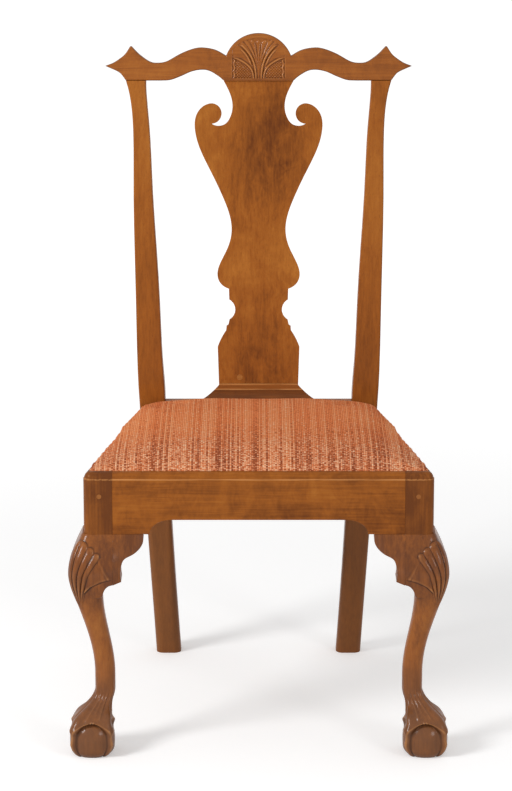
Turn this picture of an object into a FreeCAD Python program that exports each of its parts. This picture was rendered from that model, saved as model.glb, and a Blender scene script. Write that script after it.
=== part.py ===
import FreeCAD, Part
import math
import os
from FreeCAD import Vector as V

# Side chair with cabriole front legs, a pierced-outline vase splat and a drop-in seat.
# Millimetres. +Z up, the chair faces -Y, X to the right as seen from the front.
# Worked with Y = 0 on the front face of the seat, then moved so that the origin is
# under the middle of the whole chair, on the floor.

# Seat frame
SEAT_FRONT_WIDTH = 525.0    # over the front legs, before their corners are rounded
SEAT_REAR_WIDTH = 362.0     # over the side rails where they meet the rear posts
SEAT_DEPTH = 410.0          # front face of the seat to the front of the rear posts
RAIL_TOP = 441.0            # floor to the top of the seat rails
RAIL_HEIGHT = 72.0          # rail at mid length
RAIL_END_HEIGHT = 94.0      # rail at its ends
RAIL_THICK = 30.0
REAR_RAIL_THICK = 38.0
REAR_RAIL_FORWARD = 12.0    # rear rail stands this far in front of the rear posts
ARCH_SHOULDER = 55.0        # full-height length at each end of a rail
ARCH_RUN = 32.0             # length of the curve up to the thin part
CORNER_RADIUS = 12.0        # front corners in plan
MOULD_HEIGHT = 10.0         # rounded edge around the top of the rails
MOULD_RADIUS = 9.0
MOULD_STEP = 1.5
FRONT_LIP = 14.0            # wood left outside the rebate for the slip seat
SIDE_LIP = 6.0
REAR_LIP_BACK = 4.0         # rear wall of the rebate, in front of the rear posts
REBATE_DEPTH = 16.0

# Joints
TENON_THICK = 10.0
TENON_INSET = 12.0          # tenon cheek behind the rail face
FRONT_TENON_LENGTH = 30.0
SIDE_TENON_LENGTH = 17.0
FRONT_TENON_HEIGHT = 56.0
REAR_TENON_LENGTH = 24.0
REAR_TENON_HEIGHT = 24.0
THROUGH_TENON_HEIGHT = 24.0
TENON_SHOULDER = 4.0        # below the rebate and above the rail's lower edge
JOINT_GAP = 0.1             # around each tenon
MORTISE_END = 1.5           # past the end of each tenon
PEG_RADIUS = 3.5
PEG_GAP = 0.1
PEG_LENGTH = 30.0
PEG_DROP = 36.0             # below the top of the rails
POST_PEG_LENGTH = 36.0

# Front legs
LEG_POST = 45.5             # square part between the rails
KNEE_OUT = 19.5             # knee beyond the faces of the post
KNEE_DROP = 61.0            # fullest part of the knee below the rails
KNEE_BASE_DROP = 74.0       # lower end of the glued bracket faces
KNEE_BACK = 30.2            # back of the leg just under the brackets
THROAT_HEIGHT = 22.0        # curve from the back of the leg to the brackets
KNEE_LEDGE = 0.6            # knee over the leg under it
ANKLE_HEIGHT = 121.0
ANKLE_THICK = 30.5
ANKLE_CENTRE = 31.0         # behind both faces of the post
BALL_RADIUS = 34.0
BALL_CENTRE = 11.5          # behind both faces of the post
BALL_HEIGHT = 33.0          # widest part above the floor
BALL_BOTTOM = 0.66          # share of the radius left at the floor
KNUCKLE_HEIGHT = 52.0       # claws bend over the ball here
FOOT_TOP = 86.0             # foot runs out into the ankle here
CLAW_RELIEF = 8.0
CLAW_ANGLE = 0.27           # half width of a claw, in radians about the ball
BRACKET_LENGTH = 45.5
BRACKET_THICK = 26.0
BRACKET_TIP = 5.0           # height of the bracket at its free end
BRACKET_SET_BACK = 1.0      # free end behind the rail's face

# Back
BACK_RAKE = 8.0             # degrees
CREST_SEAT = 511.0          # rail top to the foot of the crest, along the back
CREST_THICK = 27.0
SHELL_TOP = 74.7            # top of the shell above the foot of the crest
SPLAT_THICK = 11.0
SPLAT_SET_BACK = 4.0        # behind the face of the crest
SPLAT_TENON = 12.0
SPLAT_TENON_HALF = 44.0
SHOE_HEIGHT = 30.0
SHOE_HALF_TOP = 64.0
SHOE_HALF_BASE = 98.0
SHOE_FRONT = 3.0            # base of the shoe in front of the rear posts
SHOE_DEPTH = 29.0
SHOE_COVE = 6.0             # how far the front of the shoe falls back
SHOE_BAND = 9.0             # upright band at the top of the shoe
SHOE_TAPER = 0.33           # ends drawn in for each unit of depth
SHOE_PLINTH = 3.0
PLUG_RADIUS = 4.5
PLUG_DEPTH = 6.0
PLUG_SIDE = 30.0
PLUG_RISE = 10.0            # middle of the plug above the shoe
POST_TENON = 20.0
POST_TENON_WIDTH = 14.0
POST_TENON_THICK = 12.0
POST_BLOCK_DROP = 100.0     # straight part of the rear post below the rail top
POST_EDGE = 3.0
REAR_FOOT_BACK = 60.0       # rear foot behind the straight part
REAR_FOOT_EDGE = 12.0

# Stations of the rear post: height, outer edge, inner edge, depth.
# Edges are shares of half the seat's rear width.
# Upper part, heights along the back above the rail top.
STILE = (
    (60.0, 1.065, 0.842, 39.0),
    (150.0, 1.075, 0.865, 34.0),
    (245.0, 1.086, 0.894, 31.0),
    (340.0, 1.093, 0.927, 29.0),
    (435.0, 1.095, 0.952, 27.5),
    (475.0, 1.112, 0.971, 27.0),
    (511.0, 1.157, 0.981, 27.0),
)
STILE_BOW = 5.0             # stile forward of the straight back line
POST_TOP = (1.048, 0.823)   # outer and inner edge at the rail top
POST_BASE = (1.020, 0.798)  # the same at the foot of the straight part
POST_DEPTH = 44.0
REAR_LEG = (
    (0.30, 0.994, 0.773, 43.0),
    (0.65, 0.959, 0.739, 40.0),
    (1.00, 0.925, 0.703, 39.0),
)

# Crest outline: half widths, as shares but for the shell, and heights above the foot of the crest
SHELL_END = (51.2, 39.4)
CREST_TOP = ((0.376, 48.4), (0.485, 52.0), (0.569, 50.2), (0.680, 42.5), (0.801, 30.5),
             (0.884, 28.0), (0.950, 30.3), (1.039, 41.5))
EAR_TIP = (1.113, 55.3)
EAR_SIDE = ((1.160, 42.4), (1.204, 35.4), (1.265, 28.3))
EAR_END = (1.337, 23.2)
EAR_UNDER = ((1.221, 13.6), (1.180, 6.0))
CREST_UNDER = ((0.768, 1.0), (0.680, 6.7), (0.586, 14.1), (0.499, 17.0), (0.427, 15.1),
               (0.348, 6.7))
CREST_FLAT_END = 0.851

# Splat outline: half widths, with depths below the crest or heights above the shoe
NECK = ((55.3, 0.0), (46.9, 16.2), (42.2, 30.3), (41.4, 44.5), (45.4, 58.6),
        (52.5, 68.0), (64.0, 71.3))
VOLUTE_CENTRE = (74.5, 51.8)
VOLUTE_RADIUS = 16.0
SHOULDER = ((88.5, 41.0), (98.3, 53.8), (100.7, 76.0), (92.6, 107.6), (74.4, 145.5),
            (56.3, 184.0))
WAIST = ((42.8, 243.9), (47.6, 220.0), (57.5, 199.0))
BULB = ((65.2, 172.3), (61.5, 161.6), (54.0, 154.5))
STEP_TOP = (47.2, 151.5)
STEP_FOOT = (46.6, 134.3)
SCOOP_HALF = 37.1
SCOOP_FOOT = (46.2, 102.0)
BEAD = ((48.0, 94.0), (51.0, 92.0), (51.5, 84.8))
FLARE = (59.5, 71.5)
PLINTH = (65.0, 58.6)
PLINTH_FOOT = 62.7

# Slip seat
SLIP_THICK = 14.0
SLIP_WIDTH = 58.0
SLIP_TENON = 30.0
SLIP_TENON_THICK = 6.0
SLIP_TENON_WIDTH = 36.0
SEAT_FIT = 1.0              # cover to the walls of the rebate
COVER_THICK = 1.2
COVER_RETURN = 40.0         # cover turned under the slip frame
SEAT_CROWN = 23.0           # top of the seat above the rails
SEAT_RIM = 2.0              # edge of the padding above the rails
SIDE_FULLNESS = 3.3         # larger is flatter on top and steeper at the edge
FRONT_FULLNESS = 5.0
REAR_FULLNESS = 4.2
SKIRT_TOP = 0.8             # square part of the cover above the rails
SEAT_CORNER = 10.0
REAR_SEAT_CORNER = 34.0
WEB_WIDTH = 50.0
WEB_THICK = 1.6
WEB_GAP = 0.2
WEB_COUNT = 3
SACK_THICK = 0.8
SACK_INSET = 26.0
STUFFING_INSET = 30.0
SOFT_GAP = 0.3
TACK_HEAD = 4.0
TACK_HEAD_THICK = 0.8
TACK_SHANK = 0.9
TACK_LENGTH = 9.0
TACK_INSET = 32.0
TACKS_FRONT = 9
TACKS_SIDE = 8
TACKS_REAR = 7

BLOCK_LEG = 56.0            # glue blocks along each rail
BLOCK_DROP = 20.0           # top of the blocks below the rail top
BLOCK_HEIGHT = 46.0

HALF_FRONT = SEAT_FRONT_WIDTH / 2
SIDE_SLOPE = (SEAT_FRONT_WIDTH - SEAT_REAR_WIDTH) / 2 / SEAT_DEPTH
SIDE_COS = math.cos(math.atan(SIDE_SLOPE))
RAIL_BOTTOM = RAIL_TOP - RAIL_HEIGHT
RAIL_END = RAIL_TOP - RAIL_END_HEIGHT
LEDGE = RAIL_TOP - REBATE_DEPTH
POST_INNER = HALF_FRONT - LEG_POST
REAR_RAIL_FRONT = SEAT_DEPTH - REAR_RAIL_FORWARD
WELL_REAR = SEAT_DEPTH - REAR_LIP_BACK
SLIP_BOTTOM = LEDGE + COVER_THICK
SLIP_TOP = SLIP_BOTTOM + SLIP_THICK
FAR = 2000.0


def side_x(y, inset=0.0):
    """Half width of the seat at depth y, measured inset square to the side."""
    return HALF_FRONT - SIDE_SLOPE * y - inset / SIDE_COS


def box(x0, x1, y0, y1, z0, z1):
    return Part.makeBox(x1 - x0, y1 - y0, z1 - z0, V(x0, y0, z0))


def polygon(points):
    return Part.makePolygon(points + [points[0]])


def prism(points, z0, z1):
    face = Part.Face(polygon([V(x, y, z0) for x, y in points]))
    return face.extrude(V(0, 0, z1 - z0))


def line(a, b):
    return Part.LineSegment(a, b).toShape()


def spline(points):
    curve = Part.BSplineCurve()
    curve.interpolate(points)
    return curve.toShape()


def arc(a, b, c):
    return Part.Arc(a, b, c).toShape()


def ring(points):
    """Closed smooth curve through points, in four equal runs."""
    curve = Part.BSplineCurve()
    curve.interpolate(points, PeriodicFlag=True)
    quarter = len(points) // 4
    ends = [curve.parameter(points[quarter * k]) for k in range(4)] + [curve.LastParameter]
    return Part.Wire([curve.toShape(a, b) for a, b in zip(ends, ends[1:])])


def rounded_rect(x0, x1, y0, y1, r, z):
    """Rectangle with rounded corners at height z."""
    d = r * (1 - math.sqrt(0.5))
    return Part.Wire([
        line(V(x0 + r, y0, z), V(x1 - r, y0, z)),
        arc(V(x1 - r, y0, z), V(x1 - d, y0 + d, z), V(x1, y0 + r, z)),
        line(V(x1, y0 + r, z), V(x1, y1 - r, z)),
        arc(V(x1, y1 - r, z), V(x1 - d, y1 - d, z), V(x1 - r, y1, z)),
        line(V(x1 - r, y1, z), V(x0 + r, y1, z)),
        arc(V(x0 + r, y1, z), V(x0 + d, y1 - d, z), V(x0, y1 - r, z)),
        line(V(x0, y1 - r, z), V(x0, y0 + r, z)),
        arc(V(x0, y0 + r, z), V(x0 + d, y0 + d, z), V(x0 + r, y0, z)),
    ])


def loft(wires, ruled=False):
    return Part.makeLoft(wires, True, ruled)


def left(shape):
    """Mirror image of a piece on the other side of the chair."""
    return shape.mirror(V(0, 0, 0), V(1, 0, 0))


def on_back(shape):
    """Lean a shape made upright at the rail top back with the rear posts."""
    moved = shape.copy()
    moved.rotate(V(0, 0, 0), V(1, 0, 0), -BACK_RAKE)
    moved.translate(V(0, SEAT_DEPTH, RAIL_TOP))
    return moved


def smooth(t):
    t = min(max(t, 0.0), 1.0)
    return t * t * (3 - 2 * t)


def mix(a, b, t):
    return a + (b - a) * t


def spread(x):
    """Distance across the back from a share of half the seat's rear width."""
    return x * SEAT_REAR_WIDTH / 2


# Seat frame

def seat_blank():
    """Whole seat frame in one block, with its moulded front and side edges."""
    def block(step, radius, z0, z1):
        rear = side_x(SEAT_DEPTH, step)
        front = side_x(step, step)
        solid = prism([(-front, step), (front, step), (rear, SEAT_DEPTH), (-rear, SEAT_DEPTH)], z0, z1)
        corners = [e for e in solid.Edges
                   if e.BoundBox.ZLength > 1 and e.BoundBox.YMax < SEAT_DEPTH / 2]
        return solid.makeFillet(radius, corners)

    break_line = RAIL_TOP - MOULD_HEIGHT
    lower = block(0.0, CORNER_RADIUS, RAIL_END, break_line)
    upper = block(MOULD_STEP, CORNER_RADIUS - MOULD_STEP, break_line, RAIL_TOP)
    top_edges = [e for e in upper.Edges
                 if e.BoundBox.ZMin > RAIL_TOP - 0.01 and e.BoundBox.YMin < SEAT_DEPTH - 1]
    return lower.fuse(upper.makeFillet(MOULD_RADIUS, top_edges)).removeSplitter()


def well(gap=0.0):
    """Corners in plan of the rebate that takes the slip seat, drawn in by gap."""
    rear = WELL_REAR - gap
    front = FRONT_LIP + gap
    wide = side_x(front, SIDE_LIP + gap)
    narrow = side_x(rear, SIDE_LIP + gap)
    return [(-wide, front), (wide, front), (narrow, rear), (-narrow, rear)]


def arch(start, end):
    """Opening under a rail along X: flat top, an elliptic quarter at each end."""
    rise = RAIL_HEIGHT - RAIL_END_HEIGHT
    turns = [math.pi / 8 * k for k in range(5)]
    run = [(ARCH_RUN - ARCH_RUN * math.cos(t), RAIL_END - rise * math.sin(t)) for t in turns]
    near = [V(start + x, -FAR / 2, z) for x, z in run]
    far = [V(end - x, -FAR / 2, z) for x, z in run]
    edges = [line(near[0], far[0]), spline(far), line(far[-1], near[-1]), spline(near)]
    return Part.Face(Part.Wire(Part.__sortEdges__(edges))).extrude(V(0, FAR, 0))


def front_tenon(gap=0.0, end=0.0):
    top = LEDGE - TENON_SHOULDER
    return box(POST_INNER, POST_INNER + FRONT_TENON_LENGTH + end,
               TENON_INSET - gap, TENON_INSET + TENON_THICK + gap,
               top - FRONT_TENON_HEIGHT - gap, top + gap)


def side_strip(y0, y1, inner, outer, z0, z1):
    """Prism along the right side of the seat between two distances from its face."""
    return prism([(side_x(y0, outer), y0), (side_x(y1, outer), y1),
                  (side_x(y1, inner), y1), (side_x(y0, inner), y0)], z0, z1)


def side_tenon(gap=0.0, end=0.0):
    top = LEDGE - TENON_SHOULDER
    return side_strip(LEG_POST - SIDE_TENON_LENGTH - end, LEG_POST,
                      TENON_INSET - gap, TENON_INSET + TENON_THICK + gap,
                      top - FRONT_TENON_HEIGHT - gap, top + gap)


def through_tenon(gap=0.0, end=0.0):
    low = RAIL_BOTTOM + TENON_SHOULDER
    return side_strip(SEAT_DEPTH, SEAT_DEPTH + POST_DEPTH + end,
                      TENON_INSET - gap, TENON_INSET + TENON_THICK + gap,
                      low - gap, low + THROUGH_TENON_HEIGHT + gap)


def rear_tenon(gap=0.0, end=0.0):
    low = RAIL_BOTTOM + 2 * TENON_SHOULDER + THROUGH_TENON_HEIGHT
    reach = spread(mix(POST_BASE[1], POST_TOP[1], 0.5)) + REAR_TENON_LENGTH
    return box(0, reach + end, SEAT_DEPTH + TENON_THICK - gap, SEAT_DEPTH + 2 * TENON_THICK + gap,
               low - gap, low + REAR_TENON_HEIGHT + gap)


def front_rail(blank):
    body = blank.common(box(-POST_INNER, POST_INNER, -1, RAIL_THICK, RAIL_END, RAIL_TOP))
    body = body.cut(arch(-POST_INNER + ARCH_SHOULDER, POST_INNER - ARCH_SHOULDER))
    body = body.cut(prism(well(), LEDGE, RAIL_TOP + 1))
    tenon = front_tenon()
    return body.fuse([tenon, left(tenon)]).removeSplitter()


def side_rail(blank):
    body = blank.common(side_strip(LEG_POST, SEAT_DEPTH, RAIL_THICK, -LEG_POST, RAIL_END, RAIL_TOP))
    opening = arch(LEG_POST + ARCH_SHOULDER, SEAT_DEPTH - ARCH_SHOULDER)
    opening.rotate(V(0, 0, 0), V(0, 0, 1), 90)
    body = body.cut(opening)
    body = body.cut(prism(well(), LEDGE, RAIL_TOP + 1))
    return body.fuse([side_tenon(), through_tenon()]).removeSplitter()


def rear_rail():
    wide = spread(POST_TOP[0])
    body = box(-wide, wide, REAR_RAIL_FRONT, REAR_RAIL_FRONT + REAR_RAIL_THICK, RAIL_BOTTOM, RAIL_TOP)
    inner = loft([polygon([V(x, y, z) for x, y in
                           ((-e, 0), (e, 0), (e, FAR), (-e, FAR))])
                  for e, z in ((spread(POST_BASE[1]), RAIL_TOP - POST_BLOCK_DROP),
                               (spread(POST_TOP[1]), RAIL_TOP))], True)
    body = body.common(inner).cut(prism(well(), LEDGE, RAIL_TOP + 1))
    tenon = rear_tenon()
    return body.fuse([tenon.fuse(left(tenon)).removeSplitter()]).removeSplitter()


# Front legs, on the right of the chair. Distances u run inward from both faces of the post.

def knee_reach(z):
    """How far the leg stands beyond the faces of the post at height z."""
    knee = RAIL_END - KNEE_DROP
    if z >= knee:
        return KNEE_OUT * math.sin(math.pi / 2 * (RAIL_END - z) / KNEE_DROP) + 0.2
    ankle = ANKLE_THICK / 2 - ANKLE_CENTRE
    fall = max(0.0, (knee - z) / (knee - ANKLE_HEIGHT))
    return mix(KNEE_OUT, ankle, smooth(fall ** 0.8)) + 0.2


def leg_back(z):
    """Back of the leg behind the faces of the post at height z."""
    throat = RAIL_END - KNEE_BASE_DROP - THROAT_HEIGHT
    ankle = ANKLE_THICK / 2 + ANKLE_CENTRE
    return mix(KNEE_BACK, ankle, smooth((throat - z) / (throat - ANKLE_HEIGHT)))


def leg_section(z, out, centre, back, squareness, claw=0.0):
    """Rounded square with four corner claws, seen from above."""
    points = []
    for k in range(32):
        turn = 2 * math.pi * k / 32
        c, s = math.cos(turn), math.sin(turn)
        a = (back - centre) if c > 0 else (out + centre)
        b = (back - centre) if s > 0 else (out + centre)
        r = ((abs(c) / a) ** squareness + (abs(s) / b) ** squareness) ** (-1 / squareness)
        off = (turn % (math.pi / 2)) - math.pi / 4
        r += claw * math.exp(-(off / CLAW_ANGLE) ** 2)
        points.append(V(HALF_FRONT - centre - r * c, centre + r * s, z))
    return ring(points)


def foot_section(z):
    rise = smooth((z - BALL_HEIGHT) / (FOOT_TOP - BALL_HEIGHT))
    half = mix(BALL_RADIUS, ANKLE_THICK / 2, rise ** 1.6)
    if z < BALL_HEIGHT:
        drop = (BALL_HEIGHT - z) / BALL_HEIGHT
        half = BALL_RADIUS * mix(1.0, BALL_BOTTOM, drop ** 2)
    shift = smooth((z - KNUCKLE_HEIGHT) / (FOOT_TOP - KNUCKLE_HEIGHT))
    centre = mix(BALL_CENTRE, ANKLE_CENTRE, shift)
    claw = CLAW_RELIEF * (1 - shift)
    return leg_section(z, half - centre, centre, half + centre, 2.15, claw)


def front_leg(blank):
    post = blank.common(box(POST_INNER, HALF_FRONT + 1, -1, LEG_POST, RAIL_END, RAIL_TOP))
    post = post.cut(prism(well(), LEDGE, RAIL_TOP + 1))
    base = RAIL_END - KNEE_BASE_DROP
    steps = 7
    knee_sections = []
    for k in range(steps + 1):
        z = mix(base, RAIL_END, k / steps)
        out = knee_reach(z)
        square = mix(3.2, 8.0, k / steps)
        knee_sections.append(leg_section(z, out, (KNEE_BACK - out) / 2, 1.6 * LEG_POST, square))
    limit = box(POST_INNER, HALF_FRONT + FAR, -FAR, LEG_POST, base - 1, RAIL_END)
    knee = loft(knee_sections).common(limit)

    heights = [FOOT_TOP * k / 11 for k in range(12)]
    sections = [foot_section(z) for z in heights]
    throat = base - THROAT_HEIGHT
    for k in range(6):
        z = mix(ANKLE_HEIGHT, throat, k / 5)
        out, back = knee_reach(z), leg_back(z)
        sections.append(leg_section(z, out, (back - out) / 2, back, mix(2.15, 3.0, k / 5)))
    for t in (0.45, 0.75, 0.92, 1.0):
        z = mix(throat, base, t)
        out = knee_reach(z) - KNEE_LEDGE * t
        back = mix(KNEE_BACK, LEG_POST - KNEE_LEDGE, 1 - math.sqrt(1 - t * t))
        sections.append(leg_section(z, out, (KNEE_BACK - out) / 2, back, 3.0))
    shank = loft(sections)
    leg = post.fuse(knee).fuse(shank).removeSplitter()
    return leg.cut([front_tenon(JOINT_GAP, MORTISE_END), side_tenon(JOINT_GAP, MORTISE_END)])


def knee_bracket(far_shift):
    """Bracket under the front rail, its face running from the knee to the rail."""
    base = RAIL_END - KNEE_BASE_DROP
    end = LEG_POST + BRACKET_LENGTH
    heights = [mix(RAIL_END, base, k / 6) for k in range(7)]

    def section(u, fronts, shift):
        x = HALF_FRONT - u
        back = BRACKET_THICK + shift
        front = [V(x, y, z) for y, z in zip(fronts, heights)]
        return Part.Wire([spline(front), line(front[-1], V(x, back, base)),
                          line(V(x, back, base), V(x, back, RAIL_END)),
                          line(V(x, back, RAIL_END), front[0])])

    near = section(LEG_POST, [-knee_reach(z) for z in heights], 0.0)
    far = section(end, [far_shift] * 7, far_shift)
    form = loft([near, far], True)

    def at(along, down):
        return V(HALF_FRONT - end + along * BRACKET_LENGTH, 0, RAIL_END - down * KNEE_BASE_DROP)

    tip = V(HALF_FRONT - end, 0, RAIL_END - BRACKET_TIP)
    cusp, heel = at(0.69, 0.565), at(0.72, 0.945)
    ogee = spline([tip, at(0.04, 0.224), at(0.19, 0.345), at(0.41, 0.431), at(0.60, 0.482), cusp])
    hollow = arc(cusp, at(0.745, 0.75), heel)
    foot = V(POST_INNER, 0, base)
    top = V(POST_INNER, 0, RAIL_END)
    corner = V(tip.x, 0, RAIL_END)
    outline = Part.Wire([line(corner, tip), ogee, hollow, line(heel, foot),
                         line(foot, top), line(top, corner)])
    outline.translate(V(0, -FAR / 2, 0))
    return form.common(Part.Face(outline).extrude(V(0, FAR, 0)))


def across_corner(shape):
    """Turn a piece under the front rail into its twin under the side rail."""
    return shape.mirror(V(HALF_FRONT, 0, 0), V(1, 1, 0))


def corner_block(y_face, direction):
    """Three-cornered block glued between a side rail and the front or rear rail."""
    x = side_x(y_face, RAIL_THICK)
    end = y_face + direction * BLOCK_LEG * SIDE_COS
    points = [(x, y_face), (x - BLOCK_LEG, y_face), (side_x(end, RAIL_THICK), end)]
    top = RAIL_TOP - BLOCK_DROP
    return prism(points, top - BLOCK_HEIGHT, top)


# Back

def rear_post():
    """Stile and rear leg in one piece, on the right of the chair."""
    base = RAIL_TOP - POST_BLOCK_DROP
    y = SEAT_DEPTH

    def section(outer, inner, front, depth, edge, z):
        return rounded_rect(spread(inner), spread(outer), front, front + depth, edge, z)

    foot = section(*POST_BASE, y, POST_DEPTH, POST_EDGE, base)
    head = section(*POST_TOP, y, POST_DEPTH, POST_EDGE, RAIL_TOP)
    block = loft([foot, head], True)

    sections = [head]
    for s, outer, inner, depth in STILE:
        s *= CREST_SEAT / STILE[-1][0]
        bow = -STILE_BOW * math.sin(math.pi * s / CREST_SEAT)
        sections.append(on_back(section(outer, inner, bow, depth, POST_EDGE, s)))
    stile = loft(sections)
    tenon = on_back(post_tenon())

    lower = [foot]
    for t, outer, inner, depth in REAR_LEG:
        back = y + REAR_FOOT_BACK * t ** 1.6
        edge = mix(POST_EDGE, REAR_FOOT_EDGE, min(1.0, 1.6 * t))
        lower.append(section(outer, inner, back, depth, edge, base * (1 - t)))
    leg = loft(lower)
    post = block.fuse([stile, leg, tenon]).removeSplitter()
    return post.cut([through_tenon(JOINT_GAP, MORTISE_END), rear_tenon(JOINT_GAP, MORTISE_END)])


def post_tenon(gap=0.0, end=0.0):
    outer, inner, depth = STILE[-1][1:]
    middle = spread((outer + inner) / 2)
    half = POST_TENON_WIDTH / 2 + gap
    y = (depth - POST_TENON_THICK) / 2
    return box(middle - half, middle + half, y - gap, y + POST_TENON_THICK + gap,
               CREST_SEAT - 1, CREST_SEAT + POST_TENON + end)


def crest_rail():
    def at(point):
        return V(spread(point[0]), 0, CREST_SEAT + point[1])

    def flip(vector):
        return V(-vector.x, vector.y, vector.z)

    ear_tip, ear_end = at(EAR_TIP), at(EAR_END)
    joint = at((STILE[-1][1], 0))
    flat = at((CREST_FLAT_END, 0))
    shell_end = V(SHELL_END[0], 0, CREST_SEAT + SHELL_END[1])
    neck = V(NECK[0][0], 0, CREST_SEAT)
    runs = [
        [shell_end] + [at(p) for p in CREST_TOP] + [ear_tip],
        [ear_tip] + [at(p) for p in EAR_SIDE] + [ear_end],
        [ear_end] + [at(p) for p in EAR_UNDER] + [joint],
        [joint, flat],
        [flat] + [at(p) for p in CREST_UNDER] + [neck],
    ]
    edges = [arc(flip(shell_end), V(0, 0, CREST_SEAT + SHELL_TOP), shell_end)]
    for run in runs:
        mirrored = [flip(p) for p in run]
        edges.append(spline(run) if len(run) > 2 else line(*run))
        edges.append(spline(mirrored) if len(run) > 2 else line(*mirrored))
    edges.append(line(neck, flip(neck)))
    outline = Part.Wire(Part.__sortEdges__(edges))
    body = on_back(Part.Face(outline).extrude(V(0, CREST_THICK, 0)))
    hole = on_back(post_tenon(JOINT_GAP, MORTISE_END))
    return body.cut([hole, left(hole), splat_tenon(JOINT_GAP, MORTISE_END)])


def splat_tenon(gap=0.0, end=0.0):
    half = SPLAT_TENON_HALF + gap
    return on_back(box(-half, half, SPLAT_SET_BACK + 2 - gap, SPLAT_SET_BACK + SPLAT_THICK - 2 + gap,
                       CREST_SEAT - 1, CREST_SEAT + SPLAT_TENON + end))


def shoe_rise():
    """Top of the shoe along the back above the rail top."""
    return SHOE_HEIGHT / math.cos(math.radians(BACK_RAKE))


def splat_blank():
    foot = shoe_rise()

    def below(point):
        return V(point[0], SPLAT_SET_BACK, CREST_SEAT - point[1])

    def above(point):
        return V(point[0], SPLAT_SET_BACK, foot + point[1])

    def flip(vector):
        return V(-vector.x, vector.y, vector.z)

    cx, drop = VOLUTE_CENTRE
    notch = below((cx, drop + VOLUTE_RADIUS))
    eye = below((cx - VOLUTE_RADIUS, drop))
    volute_top = below((cx, drop - VOLUTE_RADIUS))
    scoop = above((SCOOP_HALF, (STEP_FOOT[1] + SCOOP_FOOT[1]) / 2))
    sole = V(PLINTH_FOOT, SPLAT_SET_BACK, foot - SPLAT_TENON)
    plinth = above(PLINTH)
    bead = [above(p) for p in BEAD]
    body = [volute_top] + [below(p) for p in SHOULDER] + [above(p) for p in WAIST]
    body += [above(p) for p in BULB] + [above(STEP_TOP)]
    edges = [line(below(NECK[0]), flip(below(NECK[0]))), line(sole, flip(sole))]
    for side in (lambda p: p, flip):
        edges.append(spline([side(below(p)) for p in NECK] + [side(notch)]))
        edges.append(arc(side(notch), side(eye), side(volute_top)))
        edges.append(spline([side(p) for p in body]))
        edges.append(line(side(above(STEP_TOP)), side(above(STEP_FOOT))))
        edges.append(arc(side(above(STEP_FOOT)), side(scoop), side(above(SCOOP_FOOT))))
        steps = [above(SCOOP_FOOT)] + bead
        edges += [line(side(a), side(b)) for a, b in zip(steps, steps[1:])]
        edges.append(arc(side(bead[-1]), side(above(FLARE)), side(plinth)))
        edges.append(line(side(plinth), side(sole)))
    outline = Part.Wire(Part.__sortEdges__(edges))
    return on_back(Part.Face(outline).extrude(V(0, SPLAT_THICK, 0)))


def plug(gap=0.0):
    face = V(-PLUG_SIDE, SPLAT_SET_BACK, shoe_rise() + PLUG_RISE)
    return on_back(Part.makeCylinder(PLUG_RADIUS + gap, PLUG_DEPTH, face, V(0, 1, 0)))


def shoe(splat):
    """Moulded block on the rear rail that holds the foot of the splat."""
    y0 = SEAT_DEPTH - SHOE_FRONT
    y1 = y0 + SHOE_DEPTH
    top = RAIL_TOP + SHOE_HEIGHT
    neck = y0 + SHOE_COVE
    x = -SHOE_HALF_BASE
    band = V(x, neck, top - SHOE_BAND)
    lip = V(x, neck + 1.0, top - SHOE_BAND)
    toe = V(x, y0, RAIL_TOP + SHOE_PLINTH)
    cove = V(x, mix(neck, y0, 0.3), mix(band.z, toe.z, 0.65))
    crown, back, sole, front = (V(x, neck + 1.0, top), V(x, y1, top),
                                V(x, y1, RAIL_TOP), V(x, y0, RAIL_TOP))
    edges = [line(sole, front), line(front, toe), arc(toe, cove, band), line(band, lip),
             line(lip, crown), line(crown, back), line(back, sole)]
    body = Part.Face(Part.Wire(edges)).extrude(V(2 * SHOE_HALF_BASE, 0, 0))
    a = V(SHOE_HALF_TOP, y0, top)
    b = V(mix(SHOE_HALF_TOP, SHOE_HALF_BASE, 0.44), y0, mix(top, RAIL_TOP, 0.52))
    c = V(SHOE_HALF_BASE, y0, RAIL_TOP)
    clear = SHOE_HALF_BASE + SHOE_TAPER * SHOE_DEPTH + 1
    below, above = V(clear, y0, RAIL_TOP), V(clear, y0, top)
    profile = Part.Face(Part.Wire([arc(a, b, c), line(c, below), line(below, above), line(above, a)]))
    end = profile.extrude(V(-SHOE_TAPER * SHOE_DEPTH, SHOE_DEPTH, 0))
    return body.cut([end, left(end), splat])


# Slip seat

def slip_frame():
    """Front, rear, right and left members of the drop-in frame."""
    outline = well(SEAT_FIT + COVER_THICK)
    whole = prism(outline, SLIP_BOTTOM, SLIP_TOP)
    front_y = outline[0][1]
    rear_y = outline[2][1]
    front = whole.common(box(-FAR, FAR, front_y, front_y + SLIP_WIDTH, 0, FAR))
    rear = whole.common(box(-FAR, FAR, rear_y - SLIP_WIDTH, rear_y, 0, FAR))
    edge = SIDE_LIP + SEAT_FIT + COVER_THICK
    y0, y1 = front_y + SLIP_WIDTH, rear_y - SLIP_WIDTH
    right = side_strip(y0, y1, edge, edge + SLIP_WIDTH, SLIP_BOTTOM, SLIP_TOP)
    middle = (SLIP_BOTTOM + SLIP_TOP) / 2

    def tongue(gap, end):
        half = SLIP_TENON_THICK / 2 + gap
        near = edge + (SLIP_WIDTH - SLIP_TENON_WIDTH) / 2
        return side_strip(y0 - SLIP_TENON - end, y1 + SLIP_TENON + end, near - gap,
                          near + SLIP_TENON_WIDTH + gap, middle - half, middle + half)

    right = right.fuse(tongue(0, 0)).removeSplitter()
    slots = [tongue(JOINT_GAP, MORTISE_END), left(tongue(JOINT_GAP, MORTISE_END))]
    return front.cut(slots), rear.cut(slots), right, left(right)


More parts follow.
